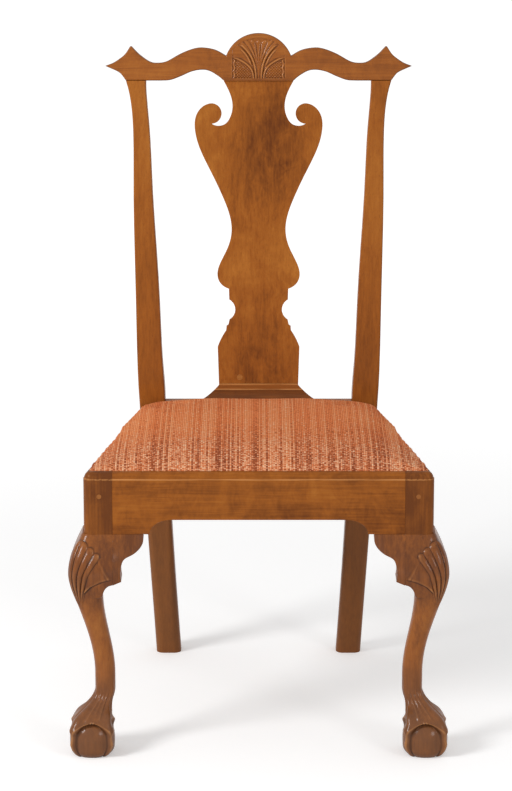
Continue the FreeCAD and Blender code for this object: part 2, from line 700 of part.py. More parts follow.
def strap(start, end, crossings, first_up):
    """Strap along Y through crossings, over and under by turns, centred on X = 0."""
    lift = (WEB_THICK + WEB_GAP) / 2
    half = WEB_WIDTH / 2 + 4
    rest = SLIP_TOP + SOFT_GAP
    low = [(start, rest)]
    up = first_up
    low.append((crossings[0] - 1.5 * half, rest))
    for y in crossings:
        z = rest + (lift if up else -lift)
        low += [(y - half, z), (y + half, z)]
        up = not up
    low += [(crossings[-1] + 1.5 * half, rest), (end, rest)]
    high = [(y, z + WEB_THICK) for y, z in reversed(low)]
    face = Part.Face(polygon([V(-WEB_WIDTH / 2, y, z) for y, z in low + high]))
    return face.extrude(V(WEB_WIDTH, 0, 0))


def webbing():
    """Straps front to back, and straps side to side woven through them."""
    outline = well(SEAT_FIT + COVER_THICK)
    front_y, rear_y = outline[0][1], outline[2][1]
    inner_front, inner_rear = front_y + SLIP_WIDTH, rear_y - SLIP_WIDTH
    inner_half = side_x((front_y + rear_y) / 2, SIDE_LIP + SLIP_WIDTH)
    pitch_y = (inner_rear - inner_front) / WEB_COUNT
    pitch_x = 2 * inner_half / (WEB_COUNT + 0.6)
    ys = [inner_front + pitch_y * (k + 0.5) for k in range(WEB_COUNT)]
    xs = [pitch_x * (k - (WEB_COUNT - 1) / 2) for k in range(WEB_COUNT)]
    hold = 0.6 * SLIP_WIDTH
    long_straps = []
    for k, x in enumerate(xs):
        piece = strap(inner_front - hold, inner_rear + hold, ys, k % 2 == 0)
        piece.translate(V(x, 0, 0))
        long_straps.append(piece)
    cross_straps = []
    for k, y in enumerate(ys):
        reach = side_x(y, SIDE_LIP + SLIP_WIDTH) + hold
        piece = strap(-reach, reach, xs, k % 2 == 1)
        piece.rotate(V(0, 0, 0), V(0, 0, 1), -90)
        piece.translate(V(0, y, 0))
        cross_straps.append(piece)
    return long_straps, cross_straps


def padding(skin, bottom):
    """Padded seat drawn in by skin: a square skirt in the rebate under a low dome."""
    skirt_top = RAIL_TOP + SKIRT_TOP
    corners = well(SEAT_FIT + skin)
    y0, y1 = corners[0][1], corners[2][1]
    rows = []
    for j in range(13):
        b = 1.02 * (j / 6 - 1)
        y = mix(y0, y1, (b + 1) / 2)
        along = 1 - abs(b) ** (FRONT_FULLNESS if b < 0 else REAR_FULLNESS)
        half = side_x(y, SIDE_LIP + SEAT_FIT + skin)
        row = []
        for i in range(13):
            a = 1.02 * (i / 6 - 1)
            swell = along * (1 - abs(a) ** SIDE_FULLNESS)
            row.append(V(a * half, y, skirt_top + SEAT_RIM + (SEAT_CROWN - SEAT_RIM) * swell - skin))
        rows.append(row)
    top = Part.BSplineSurface()
    top.interpolate(rows)
    plan = prism(corners, skirt_top - skin - 1, skirt_top + 2 * SEAT_CROWN)
    middle = SEAT_DEPTH / 2
    rear = [e for e in plan.Edges if e.BoundBox.ZLength > 1 and e.BoundBox.YMin > middle]
    plan = plan.makeFillet(REAR_SEAT_CORNER - skin, rear)
    front = [e for e in plan.Edges if e.BoundBox.ZLength > 1 and e.BoundBox.YMax < middle]
    plan = plan.makeFillet(SEAT_CORNER - skin, front)
    dome = plan.common(top.toShape().extrude(V(0, 0, -2 * SEAT_CROWN)))
    return dome.fuse(prism(corners, bottom, skirt_top - skin)).removeSplitter()


def seat_cover():
    outer = padding(0.0, LEDGE)
    inner = padding(COVER_THICK, SLIP_BOTTOM)
    opening = prism(well(COVER_RETURN), LEDGE - 1, SLIP_BOTTOM + 1)
    return outer.cut([inner, opening])


def sackcloth():
    rest = SLIP_TOP + 2 * SOFT_GAP + 2 * WEB_THICK + WEB_GAP
    return prism(well(SACK_INSET), rest, rest + SACK_THICK)


def stuffing():
    body = padding(COVER_THICK + SOFT_GAP, SLIP_BOTTOM)
    floor = SLIP_TOP + 3 * SOFT_GAP + 2 * WEB_THICK + WEB_GAP + SACK_THICK
    return body.common(prism(well(STUFFING_INSET), floor, FAR))


def tacks():
    """Tacks that hold the cover under the slip frame."""
    outline = well(TACK_INSET)
    front_y, rear_y = outline[0][1], outline[2][1]
    places = []
    for k in range(TACKS_FRONT):
        places.append((mix(outline[0][0], outline[1][0], (k + 0.5) / TACKS_FRONT), front_y))
    for k in range(TACKS_REAR):
        places.append((mix(outline[3][0], outline[2][0], (k + 0.5) / TACKS_REAR), rear_y))
    for k in range(TACKS_SIDE):
        y = mix(front_y, rear_y, (k + 0.5) / TACKS_SIDE)
        x = side_x(y, SIDE_LIP + TACK_INSET)
        places += [(x, y), (-x, y)]
    solids = []
    for x, y in places:
        head = Part.makeCylinder(TACK_HEAD, TACK_HEAD_THICK, V(x, y, LEDGE - TACK_HEAD_THICK))
        shank = Part.makeCylinder(TACK_SHANK, TACK_LENGTH, V(x, y, LEDGE - TACK_HEAD_THICK))
        solids.append(head.fuse(shank).removeSplitter())
    return solids


# Pegs

def leg_pegs(blank, gap=0.0):
    """Pegs through the front and side tenons of the right front leg."""
    z = RAIL_TOP - PEG_DROP
    x = POST_INNER + 0.65 * FRONT_TENON_LENGTH
    front = Part.makeCylinder(PEG_RADIUS + gap, PEG_LENGTH, V(x, 0, z), V(0, 1, 0))
    y = LEG_POST - 0.5 * SIDE_TENON_LENGTH
    side = Part.makeCylinder(PEG_RADIUS + gap, 2 * PEG_LENGTH, V(side_x(y) - PEG_LENGTH, y, z), V(1, 0, 0))
    return [front, side.common(blank) if not gap else side]


def post_peg(gap=0.0):
    """Peg through the side rail's tenon in the right rear post."""
    z = RAIL_BOTTOM + TENON_SHOULDER + THROUGH_TENON_HEIGHT / 2
    t = (z - RAIL_TOP + POST_BLOCK_DROP) / POST_BLOCK_DROP
    outer = spread(mix(POST_BASE[0], POST_TOP[0], t))
    start = V(outer - POST_PEG_LENGTH, SEAT_DEPTH + POST_DEPTH / 2, z)
    return Part.makeCylinder(PEG_RADIUS + gap, POST_PEG_LENGTH + gap, start, V(1, 0, 0))


def build():
    blank = seat_blank()
    parts = {}
    leg = front_leg(blank)
    leg_holes = leg_pegs(blank, PEG_GAP)
    leg = leg.cut(leg_holes)
    front = front_rail(blank).cut(leg_holes + [left(s) for s in leg_holes])
    post_hole = post_peg(PEG_GAP)
    side = side_rail(blank).cut(leg_holes + [post_hole])
    post = rear_post().cut(post_hole)
    rear = rear_rail()
    splat = splat_blank()
    slip_front, slip_rear, slip_right, slip_left = slip_frame()
    long_straps, cross_straps = webbing()
    bracket = knee_bracket(BRACKET_SET_BACK)
    side_shift = SIDE_SLOPE * (LEG_POST + BRACKET_LENGTH) + BRACKET_SET_BACK
    side_bracket = across_corner(knee_bracket(side_shift))
    front_block = corner_block(RAIL_THICK, 1).cut(box(POST_INNER, FAR, 0, LEG_POST, 0, FAR))
    rear_block = corner_block(REAR_RAIL_FRONT, -1)
    pegs = leg_pegs(blank)
    peg = post_peg().common(prism([(0, SEAT_DEPTH), (FAR, SEAT_DEPTH), (FAR, FAR), (0, FAR)], 0, FAR))

    parts["front_rail"] = [front]
    parts["rear_rail"] = [rear]
    parts["crest_rail"] = [crest_rail()]
    parts["splat"] = [splat.fuse(splat_tenon()).removeSplitter().cut(plug(PEG_GAP))]
    parts["splat_plug"] = [plug()]
    parts["shoe"] = [shoe(splat)]
    for name, piece in (("side_rail", side), ("front_leg", leg), ("rear_post", post),
                        ("front_knee_bracket", bracket), ("side_knee_bracket", side_bracket),
                        ("front_corner_block", front_block), ("rear_corner_block", rear_block)):
        parts["right_" + name] = [piece]
        parts["left_" + name] = [left(piece)]
    parts["leg_pegs"] = pegs + [left(s) for s in pegs]
    parts["post_pegs"] = [peg, left(peg)]
    parts["slip_front_member"] = [slip_front]
    parts["slip_rear_member"] = [slip_rear]
    parts["slip_right_member"] = [slip_right]
    parts["slip_left_member"] = [slip_left]
    parts["long_webbing"] = long_straps
    parts["cross_webbing"] = cross_straps
    parts["seat_sackcloth"] = [sackcloth()]
    parts["seat_stuffing"] = [stuffing()]
    parts["seat_cover"] = [seat_cover()]
    parts["cover_tacks"] = tacks()
    return parts


def main():
    os.makedirs("parts", exist_ok=True)
    parts = build()
    shapes = {}
    for name, solids in parts.items():
        flat = [s for shape in solids for s in shape.Solids]
        shapes[name] = flat[0] if len(flat) == 1 else Part.makeCompound(flat)
    whole = Part.makeCompound(list(shapes.values())).BoundBox
    shift = V(0, -(whole.YMin + whole.YMax) / 2, -whole.ZMin)
    for name, shape in shapes.items():
        shape.translate(shift)
        shape.exportStep("parts/" + name + ".step")
        print(name, len(shape.Solids), round(shape.Volume / 1000, 2), shape.isValid())
    print("width, depth, height", whole.XLength, whole.YLength, whole.ZLength, "moved", tuple(shift))


main()
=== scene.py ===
# %% [markdown]
# A carved side chair with a drop-in seat.
# The solids of the chair are loaded first, as a frame that nothing here moves. Plain boards keep
# their solid and only get a finish. Carved and padded pieces are made again as fine surfaces, in
# the same place, and stand for the solid that they cover.

# %% Load the frame
import math

import bmesh
import bpy
import numpy as np
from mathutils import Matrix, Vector


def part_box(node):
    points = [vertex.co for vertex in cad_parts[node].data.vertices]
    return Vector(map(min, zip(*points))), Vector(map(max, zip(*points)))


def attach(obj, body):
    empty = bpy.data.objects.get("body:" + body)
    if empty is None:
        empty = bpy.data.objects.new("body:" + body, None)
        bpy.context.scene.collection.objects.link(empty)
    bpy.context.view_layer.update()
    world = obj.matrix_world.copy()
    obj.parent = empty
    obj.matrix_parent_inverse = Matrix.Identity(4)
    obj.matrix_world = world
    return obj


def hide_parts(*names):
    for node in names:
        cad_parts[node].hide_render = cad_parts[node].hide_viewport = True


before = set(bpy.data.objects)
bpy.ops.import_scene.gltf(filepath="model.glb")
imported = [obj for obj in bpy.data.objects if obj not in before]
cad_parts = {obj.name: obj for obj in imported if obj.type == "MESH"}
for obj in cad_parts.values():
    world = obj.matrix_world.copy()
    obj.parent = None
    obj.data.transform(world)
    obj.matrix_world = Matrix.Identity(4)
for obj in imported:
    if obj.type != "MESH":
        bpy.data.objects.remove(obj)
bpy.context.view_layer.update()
MM = 0.001


# %% [markdown]
# The few sizes that the carved pieces share come from the frame itself, so that a new piece lands
# exactly where its solid is. Everything below is worked out in millimetres and turned into metres
# only when a mesh is made.

# %% Sizes shared by the pieces
def corners(node):
    """Lowest and highest corner of a solid, in millimetres."""
    return [np.array(corner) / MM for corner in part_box(node)]


rail_low, rail_high = corners("front_rail")
bracket_low, bracket_high = corners("right_front_knee_bracket")
FRONT = rail_low[1]                  # front face of the seat
RAIL_TOP = rail_high[2]
RAIL_END = rail_low[2]               # lower edge of the rails at the legs
POST_INNER = bracket_high[0]         # side of a front leg against the rail
KNEE_BASE = bracket_low[2]
HALF_FRONT = 262.5                   # middle of the chair to the outside of a front leg
LEG_POST = HALF_FRONT - POST_INNER
SEAT_DEPTH = 410.0                   # front of the seat to the front of the rear posts
BACK_RAKE = math.radians(8.0)
print("seat height", round(RAIL_TOP, 1), "leg width", round(LEG_POST, 1), "front", round(FRONT, 1))


# %% [markdown]
# Carving is drawn with a few kinds of line. A soft step joins two levels, a bell about a line makes
# a rib or a cut, and a smooth curve goes through given points as a maker's bent batten does. Each
# helper works on whole arrays, so that no loop over single points is needed.

# %% Helpers for lines and relief
def smooth(t):
    """Rises from 0 to 1 with level ends: three t squared less two t cubed."""
    t = np.clip(t, 0.0, 1.0)
    return t * t * (3 - 2 * t)


def mix(a, b, t):
    return a + (b - a) * t


def bump(distance, width):
    """Rounded ridge: one on its line, falling off as a bell on both sides."""
    return np.exp(-(distance / width) ** 2)


def curve_through(points, count):
    """Smooth curve through points: each run is a cubic whose end slopes follow its neighbours."""
    p = np.asarray(points, float)
    p = np.vstack([2 * p[0] - p[1], p, 2 * p[-1] - p[-2]])
    t = np.linspace(0, len(p) - 3, count)
    k = np.minimum(t.astype(int), len(p) - 4)
    f = (t - k)[:, None]
    a, b, c, d = p[k], p[k + 1], p[k + 2], p[k + 3]
    return 0.5 * (2 * b + (c - a) * f + (2 * a - 5 * b + 4 * c - d) * f ** 2
                  + (3 * b - a - 3 * c + d) * f ** 3)


def hollows(height, reach):
    """How far each point lies above the mean of the grid round it, from shifted copies."""
    count = 2 * reach + 1
    rows = np.pad(height, ((reach, reach), (0, 0)), mode="edge")
    mean = sum(rows[k:k + len(height)] for k in range(count)) / count
    mean = sum(np.roll(mean, k - reach, 1) for k in range(count)) / count
    return height - mean


print("middle of a curve through three points", curve_through([(0, 0), (1, 2), (2, 0)], 5)[2])


# %% [markdown]
# Every carved piece here is a sheet of points closed round on itself: rows along the piece, and in
# each row a loop of points round it. The helper joins neighbours into four-sided faces, closes the
# ends and keeps one more number for each point, the relief, which says how far it lies above or
# below the carving round it. The finish reads it, to darken the hollows as wax and dust and as
# painted shade, and to lighten the ridges as rubbed wear and as a painted highlight.

# %% Helpers for meshes
def loop_faces(rows, columns):
    """Corners of each cell of a grid whose last column joins the first."""
    r, c = np.meshgrid(np.arange(rows - 1), np.arange(columns), indexing="ij")
    n = (c + 1) % columns
    cells = [r * columns + c, r * columns + n, (r + 1) * columns + n, (r + 1) * columns + c]
    return np.stack(cells, -1).reshape(-1, 4)


def closed_mesh(name, surface, relief=None):
    """Closed mesh from rows of loops in millimetres: ends filled, faces turned outwards."""
    rows, columns = surface.shape[:2]
    quads = loop_faces(rows, columns)
    mesh = bpy.data.meshes.new(name)
    mesh.vertices.add(rows * columns)
    mesh.vertices.foreach_set("co", (surface * MM).astype(np.float32).ravel())
    mesh.loops.add(quads.size)
    mesh.loops.foreach_set("vertex_index", quads.astype(np.int32).ravel())
    mesh.polygons.add(len(quads))
    mesh.polygons.foreach_set("loop_start", np.arange(0, quads.size, 4, dtype=np.int32))
    mesh.update(calc_edges=True)
    layer = mesh.attributes.new("relief", "FLOAT", "POINT")
    height = np.zeros(rows * columns) if relief is None else relief.ravel()
    layer.data.foreach_set("value", height.astype(np.float32))
    shape = bmesh.new()
    shape.from_mesh(mesh)
    bmesh.ops.remove_doubles(shape, verts=shape.verts, dist=1e-6)
    bmesh.ops.holes_fill(shape, edges=[e for e in shape.edges if e.is_boundary], sides=0)
    bmesh.ops.recalc_face_normals(shape, faces=shape.faces)
    shape.to_mesh(mesh)
    shape.free()
    return mesh


def finished(name, mesh, body, slot, finish, *nodes, sharp=40.0):
    """Object for a mesh that rides on a body, stands for some solids and has a finish."""
    mesh.shade_smooth()
    mesh.set_sharp_from_angle(angle=math.radians(sharp))
    mesh.materials.clear()
    mesh.materials.append(finish)
    piece = bpy.data.objects.new(name, mesh)
    bpy.context.scene.collection.objects.link(piece)
    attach(piece, body)
    if nodes:
        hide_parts(*nodes)
    print(name, len(mesh.vertices), "points")
    return piece


print("cells of three rows of eight points", len(loop_faces(3, 8)))


# %% [markdown]
# A finish is a small graph of shader nodes. Written out node by node it is hard to read, so one
# class wraps a socket and lets Python's own operators add the Math nodes. An expression such as
# 1 - mask then reads as it would on paper.

# %% Values of a finish
class Field:
    """A value that changes over the surface; sums and products of fields add Math nodes."""

    def __init__(self, graph, socket):
        self.graph = graph
        self.socket = socket

    def math(self, operation, *others):
        values = dict(enumerate((self,) + others))
        return self.graph.node("ShaderNodeMath", {"operation": operation}, values)

    def __add__(self, other):
        return self.math("ADD", other)

    def __mul__(self, other):
        return self.math("MULTIPLY", other)

    def __sub__(self, other):
        return self.math("SUBTRACT", other)

    def __rsub__(self, other):
        return self * -1.0 + other

    __radd__ = __add__
    __rmul__ = __mul__

    def between(self, low, high):
        """Rises smoothly from 0 at low to 1 at high."""
        settings = {"interpolation_type": "SMOOTHSTEP"}
        return self.graph.node("ShaderNodeMapRange", settings, {0: self, 1: low, 2: high})

    def within(self, low, high):
        """The same value, kept between two limits."""
        return self.math("MAXIMUM", low).math("MINIMUM", high)

    def output(self, name):
        """Another output of the same node."""
        return Field(self.graph, self.socket.node.outputs[name])


# %% [markdown]
# Any other node comes from one method, which takes the node's type, its settings and what feeds its
# sockets. A finish is such a graph with one Principled shader, and with the few textures that wood
# and cloth share. The same method also sets up the light of the studio at the end.

# %% Graphs and finishes
class Graph:
    """A tree of shader nodes."""

    def __init__(self, tree):
        self.tree = tree

    def node(self, kind, settings=None, sockets=None, output=0):
        """A new node: settings first, then numbers, colours or links for its sockets."""
        made = self.tree.nodes.new(kind)
        for name, value in (settings or {}).items():
            if name == "stops":
                self.set_stops(made.color_ramp, value)
            else:
                setattr(made, name, value)
        for name, value in (sockets or {}).items():
            self.feed(made.inputs[name], value)
        return Field(self, made.outputs[output])

    @staticmethod
    def set_stops(ramp, stops):
        while len(ramp.elements) < len(stops):
            ramp.elements.new(1.0)
        for element, (position, colour) in zip(ramp.elements, stops):
            element.position = position
            element.color = (*colour, 1.0)

    def feed(self, socket, value):
        if isinstance(value, Field):
            self.tree.links.new(value.socket, socket)
        elif isinstance(value, tuple) and len(value) == 3 and len(socket.default_value) == 4:
            socket.default_value = (*value, 1.0)
        else:
            socket.default_value = value


class Finish(Graph):
    """A material with one Principled shader."""

    def __init__(self, name, **constants):
        self.material = bpy.data.materials.new(name)
        self.material.use_nodes = True
        super().__init__(self.material.node_tree)
        self.shader = self.tree.nodes["Principled BSDF"]
        for socket, value in constants.items():
            self.shader.inputs[socket.replace("_", " ")].default_value = value
        self.place = self.node("ShaderNodeTexCoord", output="Object")
        self.relief = self.node("ShaderNodeAttribute", {"attribute_name": "relief"}, output="Fac")

    def set(self, socket, value):
        self.feed(self.shader.inputs[socket], value)

    def axis(self, name):
        """Place along one axis of the chair, in metres."""
        return self.node("ShaderNodeSeparateXYZ", None, {0: self.place}, output=name)

    def noise(self, where, scale, detail=3.0, roughness=0.55, distortion=0.0):
        values = {"Vector": where, "Scale": scale, "Detail": detail, "Roughness": roughness,
                  "Distortion": distortion}
        return self.node("ShaderNodeTexNoise", None, values)

    def stretched(self, scale, shift=(0.0, 0.0, 0.0)):
        return self.node("ShaderNodeMapping", None,
                         {"Vector": self.place, "Scale": scale, "Location": shift})

    def ramp(self, value, *stops):
        return self.node("ShaderNodeValToRGB", {"stops": stops}, {"Fac": value})

    def blend(self, share, first, second):
        settings = {"data_type": "RGBA"}
        return self.node("ShaderNodeMix", settings, {0: share, 6: first, 7: second}, output=2)

    def relieve(self, height, strength, distance):
        """Fine relief too small for the mesh: a Bump node that feeds the shader's normal."""
        values = {"Height": height, "Strength": strength, "Distance": distance}
        self.set("Normal", self.node("ShaderNodeBump", None, values))


print("materials so far", len(bpy.data.materials))


# %% [markdown]
# The chair's wood is an old, oiled red-brown timber. Its look comes from four scales at once: slow
# changes of tone over a board, growth bands drawn out along the grain, fine streaks, and short dark
# pores. Each is a noise stretched along the grain. Boards differ in grain direction, so the finish
# is a function of that direction, and of how much curl the board shows.

# %% Finish of the wood
GOLD = (0.44, 0.158, 0.026)
BROWN = (0.300, 0.090, 0.014)
DARK = (0.130, 0.036, 0.008)
HOLLOW_DUST_AND_SHADE = (0.035, 0.013, 0.006)  # wax and dust, and painted shade, in the carving's hollows
RUBBED_AND_HIGHLIGHT = (0.60, 0.27, 0.09)     # rubbed wear and painted highlight on ridges and edges
AGED = (0.20, 0.105, 0.055)
WORN = (0.195, 0.088, 0.040)    # foot of a board
WORN_FADE = 0.14                # height over which that foot fades
DRAWN_OUT = 0.045               # scale of the noises along the grain
LINE_EDGE, LINE_CORE = 0.0014, 0.0004   # half widths of a pale line painted on a rubbed edge, as wear and highlight


def wood(name, grain, seed, tone=0.5, curl=0.0, bands=0.5, age=0.0, worn=0.0, worn_top=0.17,
         stain_and_shade=None, lines=(), gloss=0.07, dull_above=None, sunk=0.85):
    """Grain is the axis that the fibres follow; tone moves from brown to gold; age greys it; worn
    darkens the foot of a board; lines are heights of rubbed edges where a pale line is painted, as
    wear and as a painted highlight; gloss is the wax on top, thin from a height of dull_above, and
    sunk how dark a carving's hollows are painted, as dust and as painted shade."""
    made = Finish(name, IOR=1.45, Specular_IOR_Level=0.04, Coat_Weight=gloss, Coat_Roughness=0.15)
    along = tuple(DRAWN_OUT if axis == grain else 1.0 for axis in "XYZ")
    shift = (1.7 * seed, 2.3 * seed, 3.1 * seed)
    fibre = made.stretched(along, shift)
    slow = made.noise(made.stretched(tuple(0.3 + 0.7 * s for s in along), shift), 9.0, 2.0)
    rings = made.noise(fibre, 42.0, 4.0, 0.6, 0.6)
    streaks = made.noise(fibre, 300.0, 3.0, 0.6)
    short = made.stretched(tuple(0.4 * s if s < 1 else s for s in along), shift)
    pits = made.noise(short, 1100.0, 1.0).between(0.60, 0.72)
    mottle = made.noise(made.stretched((1.0, 1.0, 0.7), shift), 20.0, 3.0, 0.55, 1.4)
    wisps = made.noise(made.stretched((1.0, 1.0, 0.5), shift), 70.0, 3.0, 0.6, 2.0)
    level = (slow - 0.5) * 0.7 + (rings - 0.5) * bands + (streaks - 0.5) * 0.55 + tone
    level = level + ((mottle - 0.5) + (wisps - 0.5) * 0.5) * curl
    if stain_and_shade:
        level = level - stain_and_shade(made, mottle)
    colour = made.ramp(level, (0.0, DARK), (0.45, BROWN), (1.0, GOLD))
    colour = made.blend(pits * 0.34, colour, DARK)
    if age:
        colour = made.blend(age, colour, AGED)
    height = made.axis("Z")
    # A pale line at each given height: a rubbed edge with a painted highlight.
    for line in lines:
        on_line = (height - line).math("ABSOLUTE").between(LINE_EDGE, LINE_CORE)
        colour = made.blend(on_line * streaks.between(0.25, 0.6) * 0.65, colour, RUBBED_AND_HIGHLIGHT)
    if worn:
        low = 1 - height.between(worn_top - WORN_FADE, worn_top)
        colour = made.blend(low * worn, colour, WORN)
    if dull_above:
        made.set("Coat Weight", (1 - height.between(dull_above - 0.001, dull_above) * 0.85) * gloss)
    # Hollows of the carving are darkened, as wax and dust and as painted shade.
    colour = made.blend((made.relief * -1.0).between(0.06, 0.7) * sunk, colour, HOLLOW_DUST_AND_SHADE)
    # Ridges are lightened, as rubbed wear and as a painted highlight.
    colour = made.blend(made.relief.between(0.12, 0.7) * 0.45, colour, RUBBED_AND_HIGHLIGHT)
    made.set("Base Color", colour)
    made.set("Roughness", streaks * 0.14 + rings * 0.10 + 0.22)
    made.relieve(pits * -1.0 + streaks * 0.35, 0.16, 0.0006)
    return made.material


print("colours of the wood, dark to rubbed", DARK, BROWN, GOLD, RUBBED_AND_HIGHLIGHT)


# %% [markdown]
# No board is the same all over. The splat is clouded in its upper part and a leg is paler along its
# shank. Some fields are painted light: on a leg's post, painted shade beside the rail and a slight
# painted highlight at its outer edge, and painted shade in the shoe's cove under its band. A stain
# or painted shade is a field that is taken away from the tone of the wood, and it knows the heights
# of its own board.

# %% Stains and painted shade of single boards
MOULD_LINE = (RAIL_TOP - 10.0) * MM     # lower edge of the rails' moulding
SHOE_TOP = (RAIL_TOP + 30.0) * MM
SHOE_BAND = (RAIL_TOP + 21.0) * MM      # lower edge of the shoe's band
CLOUD_SIDE, CLOUD_HEIGHT = 0.025, 0.845


def splat_stain(made, mottle):
    """Darker, clouded wood right of the middle in the upper part of the splat, a bell about the
    cloud's middle, and a soft step to darker wood at its foot."""
    across = (made.axis("X") - CLOUD_SIDE) * 16.0
    height = made.axis("Z")
    upright = (height - CLOUD_HEIGHT) * 8.5
    near = (across * across + upright * upright) * -1.0
    cloud = near.math("EXPONENT") * (mottle.between(0.28, 0.60) * 0.5 + 0.16)
    return cloud + (1 - height.between(0.50, 0.70)) * 0.28


def leg_shank_and_post_shade(made, mottle):
    """Lighter along the shank, between the knee and the foot. On the post, painted shade next to the
    rail and a slight painted highlight at its outer edge."""
    height = made.axis("Z")
    outer = made.axis("X").math("ABSOLUTE").between((POST_INNER + 6.0) * MM, HALF_FRONT * MM)
    shank = height.between(0.08, 0.15) * (1 - height.between(0.21, 0.26)) * (mottle * 0.3 + 0.2)
    post = height.between(RAIL_END * MM - 0.0005, RAIL_END * MM + 0.0005)
    return post * (0.15 - outer * 0.20) - shank


def post_stain(made, mottle):
    """Rear posts grow a little darker towards the seat."""
    return (1 - made.axis("Z").between(0.45, 0.80)) * (mottle * 0.2 + 0.06)


def shoe_cove_shade(made, mottle):
    """Painted shade in the cove under the pale band of the shoe."""
    band = made.axis("Z").between(SHOE_BAND - 0.0006, SHOE_BAND + 0.0006)
    return (1 - band) * (mottle * 0.3 + 0.18)


print("moulding, shoe band and shoe top at", [round(z, 4) for z in (MOULD_LINE, SHOE_BAND, SHOE_TOP)])


# %% [markdown]
# Each board is then its own cut of that wood: its grain runs along it, a seed moves the pattern so
# that no two boards match, and its tone comes from comparing one board with the next.

# %% Woods of the chair
rail_wood = wood("rail_wood", "X", 1.0, 0.33, curl=0.8, bands=0.5, lines=[MOULD_LINE])
crest_wood = wood("crest_wood", "X", 5.0, 0.42, curl=0.5, bands=0.7, gloss=0.28, sunk=0.6)
side_wood = wood("side_rail_wood", "Y", 2.0, 0.34, lines=[MOULD_LINE])
post_wood = wood("post_wood", "Z", 3.0, 0.50, bands=0.6, worn=0.55, worn_top=0.46, stain_and_shade=post_stain,
                 gloss=0.1)
leg_wood = wood("leg_wood", "Z", 4.0, 0.14, curl=0.5, age=0.08, worn=0.5, stain_and_shade=leg_shank_and_post_shade,
                lines=[MOULD_LINE], gloss=0.34, dull_above=RAIL_END * MM)
splat_wood = wood("splat_wood", "Z", 6.0, 0.66, curl=0.9, bands=0.45, stain_and_shade=splat_stain)
shoe_wood = wood("shoe_wood", "X", 7.0, 0.42, age=0.18, stain_and_shade=shoe_cove_shade,
                 lines=[SHOE_TOP - 0.001, SHOE_BAND])
peg_wood = wood("peg_wood", "Z", 8.0, 0.5, age=0.3)
plug_wood = wood("plug_wood", "X", 10.0, 0.95, curl=1.2, age=0.25)
inner_wood = wood("inner_wood", "X", 9.0, 0.95, age=0.35)
print("wood finishes", [made.name for made in bpy.data.materials if made.name.endswith("_wood")])


# %% [markdown]
# The plain boards keep their solids. No old board has a knife edge, so a small bevel rounds every
# edge where two faces meet sharply, and the normals are weighted by face so that the flats stay
# flat. The solids come as loose triangles, which a weld joins first.

# %% Give the plain boards their finish
EASED = 0.7             # usual rounding of an edge
EASED_POST = 1.6


def even_normals(piece):
    """Weights the normals by face, so that flats stay flat beside rounded edges."""
    weighted = piece.modifiers.new("even_normals", "WEIGHTED_NORMAL")
    weighted.weight = 80
    weighted.keep_sharp = True


def dress(finish, *names, eased=EASED):
    """Gives some solids a finish, joins their triangles and rounds their edges."""
    for name in names:
        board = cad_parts[name]
        board.data.materials.clear()
        board.data.materials.append(finish)
        board.data.shade_smooth()
        weld = board.modifiers.new("joined", "WELD")
        weld.merge_threshold = 1e-6
        edge = board.modifiers.new("eased", "BEVEL")
        edge.width = eased * MM
        edge.segments = 2
        edge.limit_method = "ANGLE"
        edge.angle_limit = math.radians(35.0)
        even_normals(board)


dress(rail_wood, "front_rail", "rear_rail")
dress(shoe_wood, "shoe")
dress(splat_wood, "splat")
dress(peg_wood, "leg_pegs", "post_pegs", eased=0.2)
dress(plug_wood, "splat_plug", eased=0.5)
for side in ("left", "right"):
    dress(side_wood, side + "_side_rail")
    dress(post_wood, side + "_rear_post", eased=EASED_POST)
    dress(leg_wood, side + "_front_knee_bracket", side + "_side_knee_bracket")
    dress(inner_wood, side + "_front_corner_block", side + "_rear_corner_block")
    dress(inner_wood, "slip_" + side + "_member")
dress(inner_wood, "slip_front_member", "slip_rear_member")
print("solids with a finish", sum(len(board.modifiers) > 0 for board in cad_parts.values()))


# %% [markdown]
# The crest rail is one board with a shell carved in its middle. Its outline is a lower and an upper
# edge over the width, so a row of the surface is one upright slice: up the front, over the top and
# down the back. The carving only moves the front of a slice to and fro. A shell made as separate
# ribs would show joints that a carver never leaves.

# %% Outline of the crest
CREST_SEAT = 511.0      # rail top to the foot of the crest, along the back
CREST_THICK = 27.0
SHELL_HALF = 51.2
SHELL_TOP = 74.7
SHELL_SPRING = 39.4     # ends of the shell's arc above the foot of the crest
CREST_END = 242.0
UPPER = ((51.2, 39.4), (68.0, 48.4), (87.7, 52.0), (103.0, 50.2), (123.0, 42.5), (145.0, 30.5),
         (160.0, 28.0), (172.0, 30.3), (188.0, 41.5), (201.5, 55.3))
EAR = ((201.5, 55.3), (210.0, 42.4), (218.0, 35.4), (229.0, 28.3), (242.0, 23.2))
LOWER = ((55.3, 0.0), (63.0, 6.7), (77.3, 15.1), (90.4, 17.0), (106.0, 14.1), (123.0, 6.7),
         (139.0, 1.0), (154.0, 0.0))
EAR_UNDER = ((209.5, 0.0), (213.5, 6.0), (221.0, 13.6), (242.0, 23.2))


def crest_edges(x):
    """Heights of the lower and upper edge at half width x: an arc over the shell, curves beyond."""
    rise = SHELL_TOP - SHELL_SPRING
    radius = (SHELL_HALF ** 2 + rise ** 2) / (2 * rise)
    arc = SHELL_TOP - radius + np.sqrt(np.maximum(radius ** 2 - x ** 2, 0))
    beyond = np.vstack([curve_through(UPPER, 300), curve_through(EAR, 120)[1:]])
    upper = np.where(x < SHELL_HALF, arc, np.interp(x, beyond[:, 0], beyond[:, 1]))
    under = np.vstack([[0.0, 0.0], curve_through(LOWER, 200), curve_through(EAR_UNDER, 100)])
    return np.interp(x, under[:, 0], under[:, 1]), upper


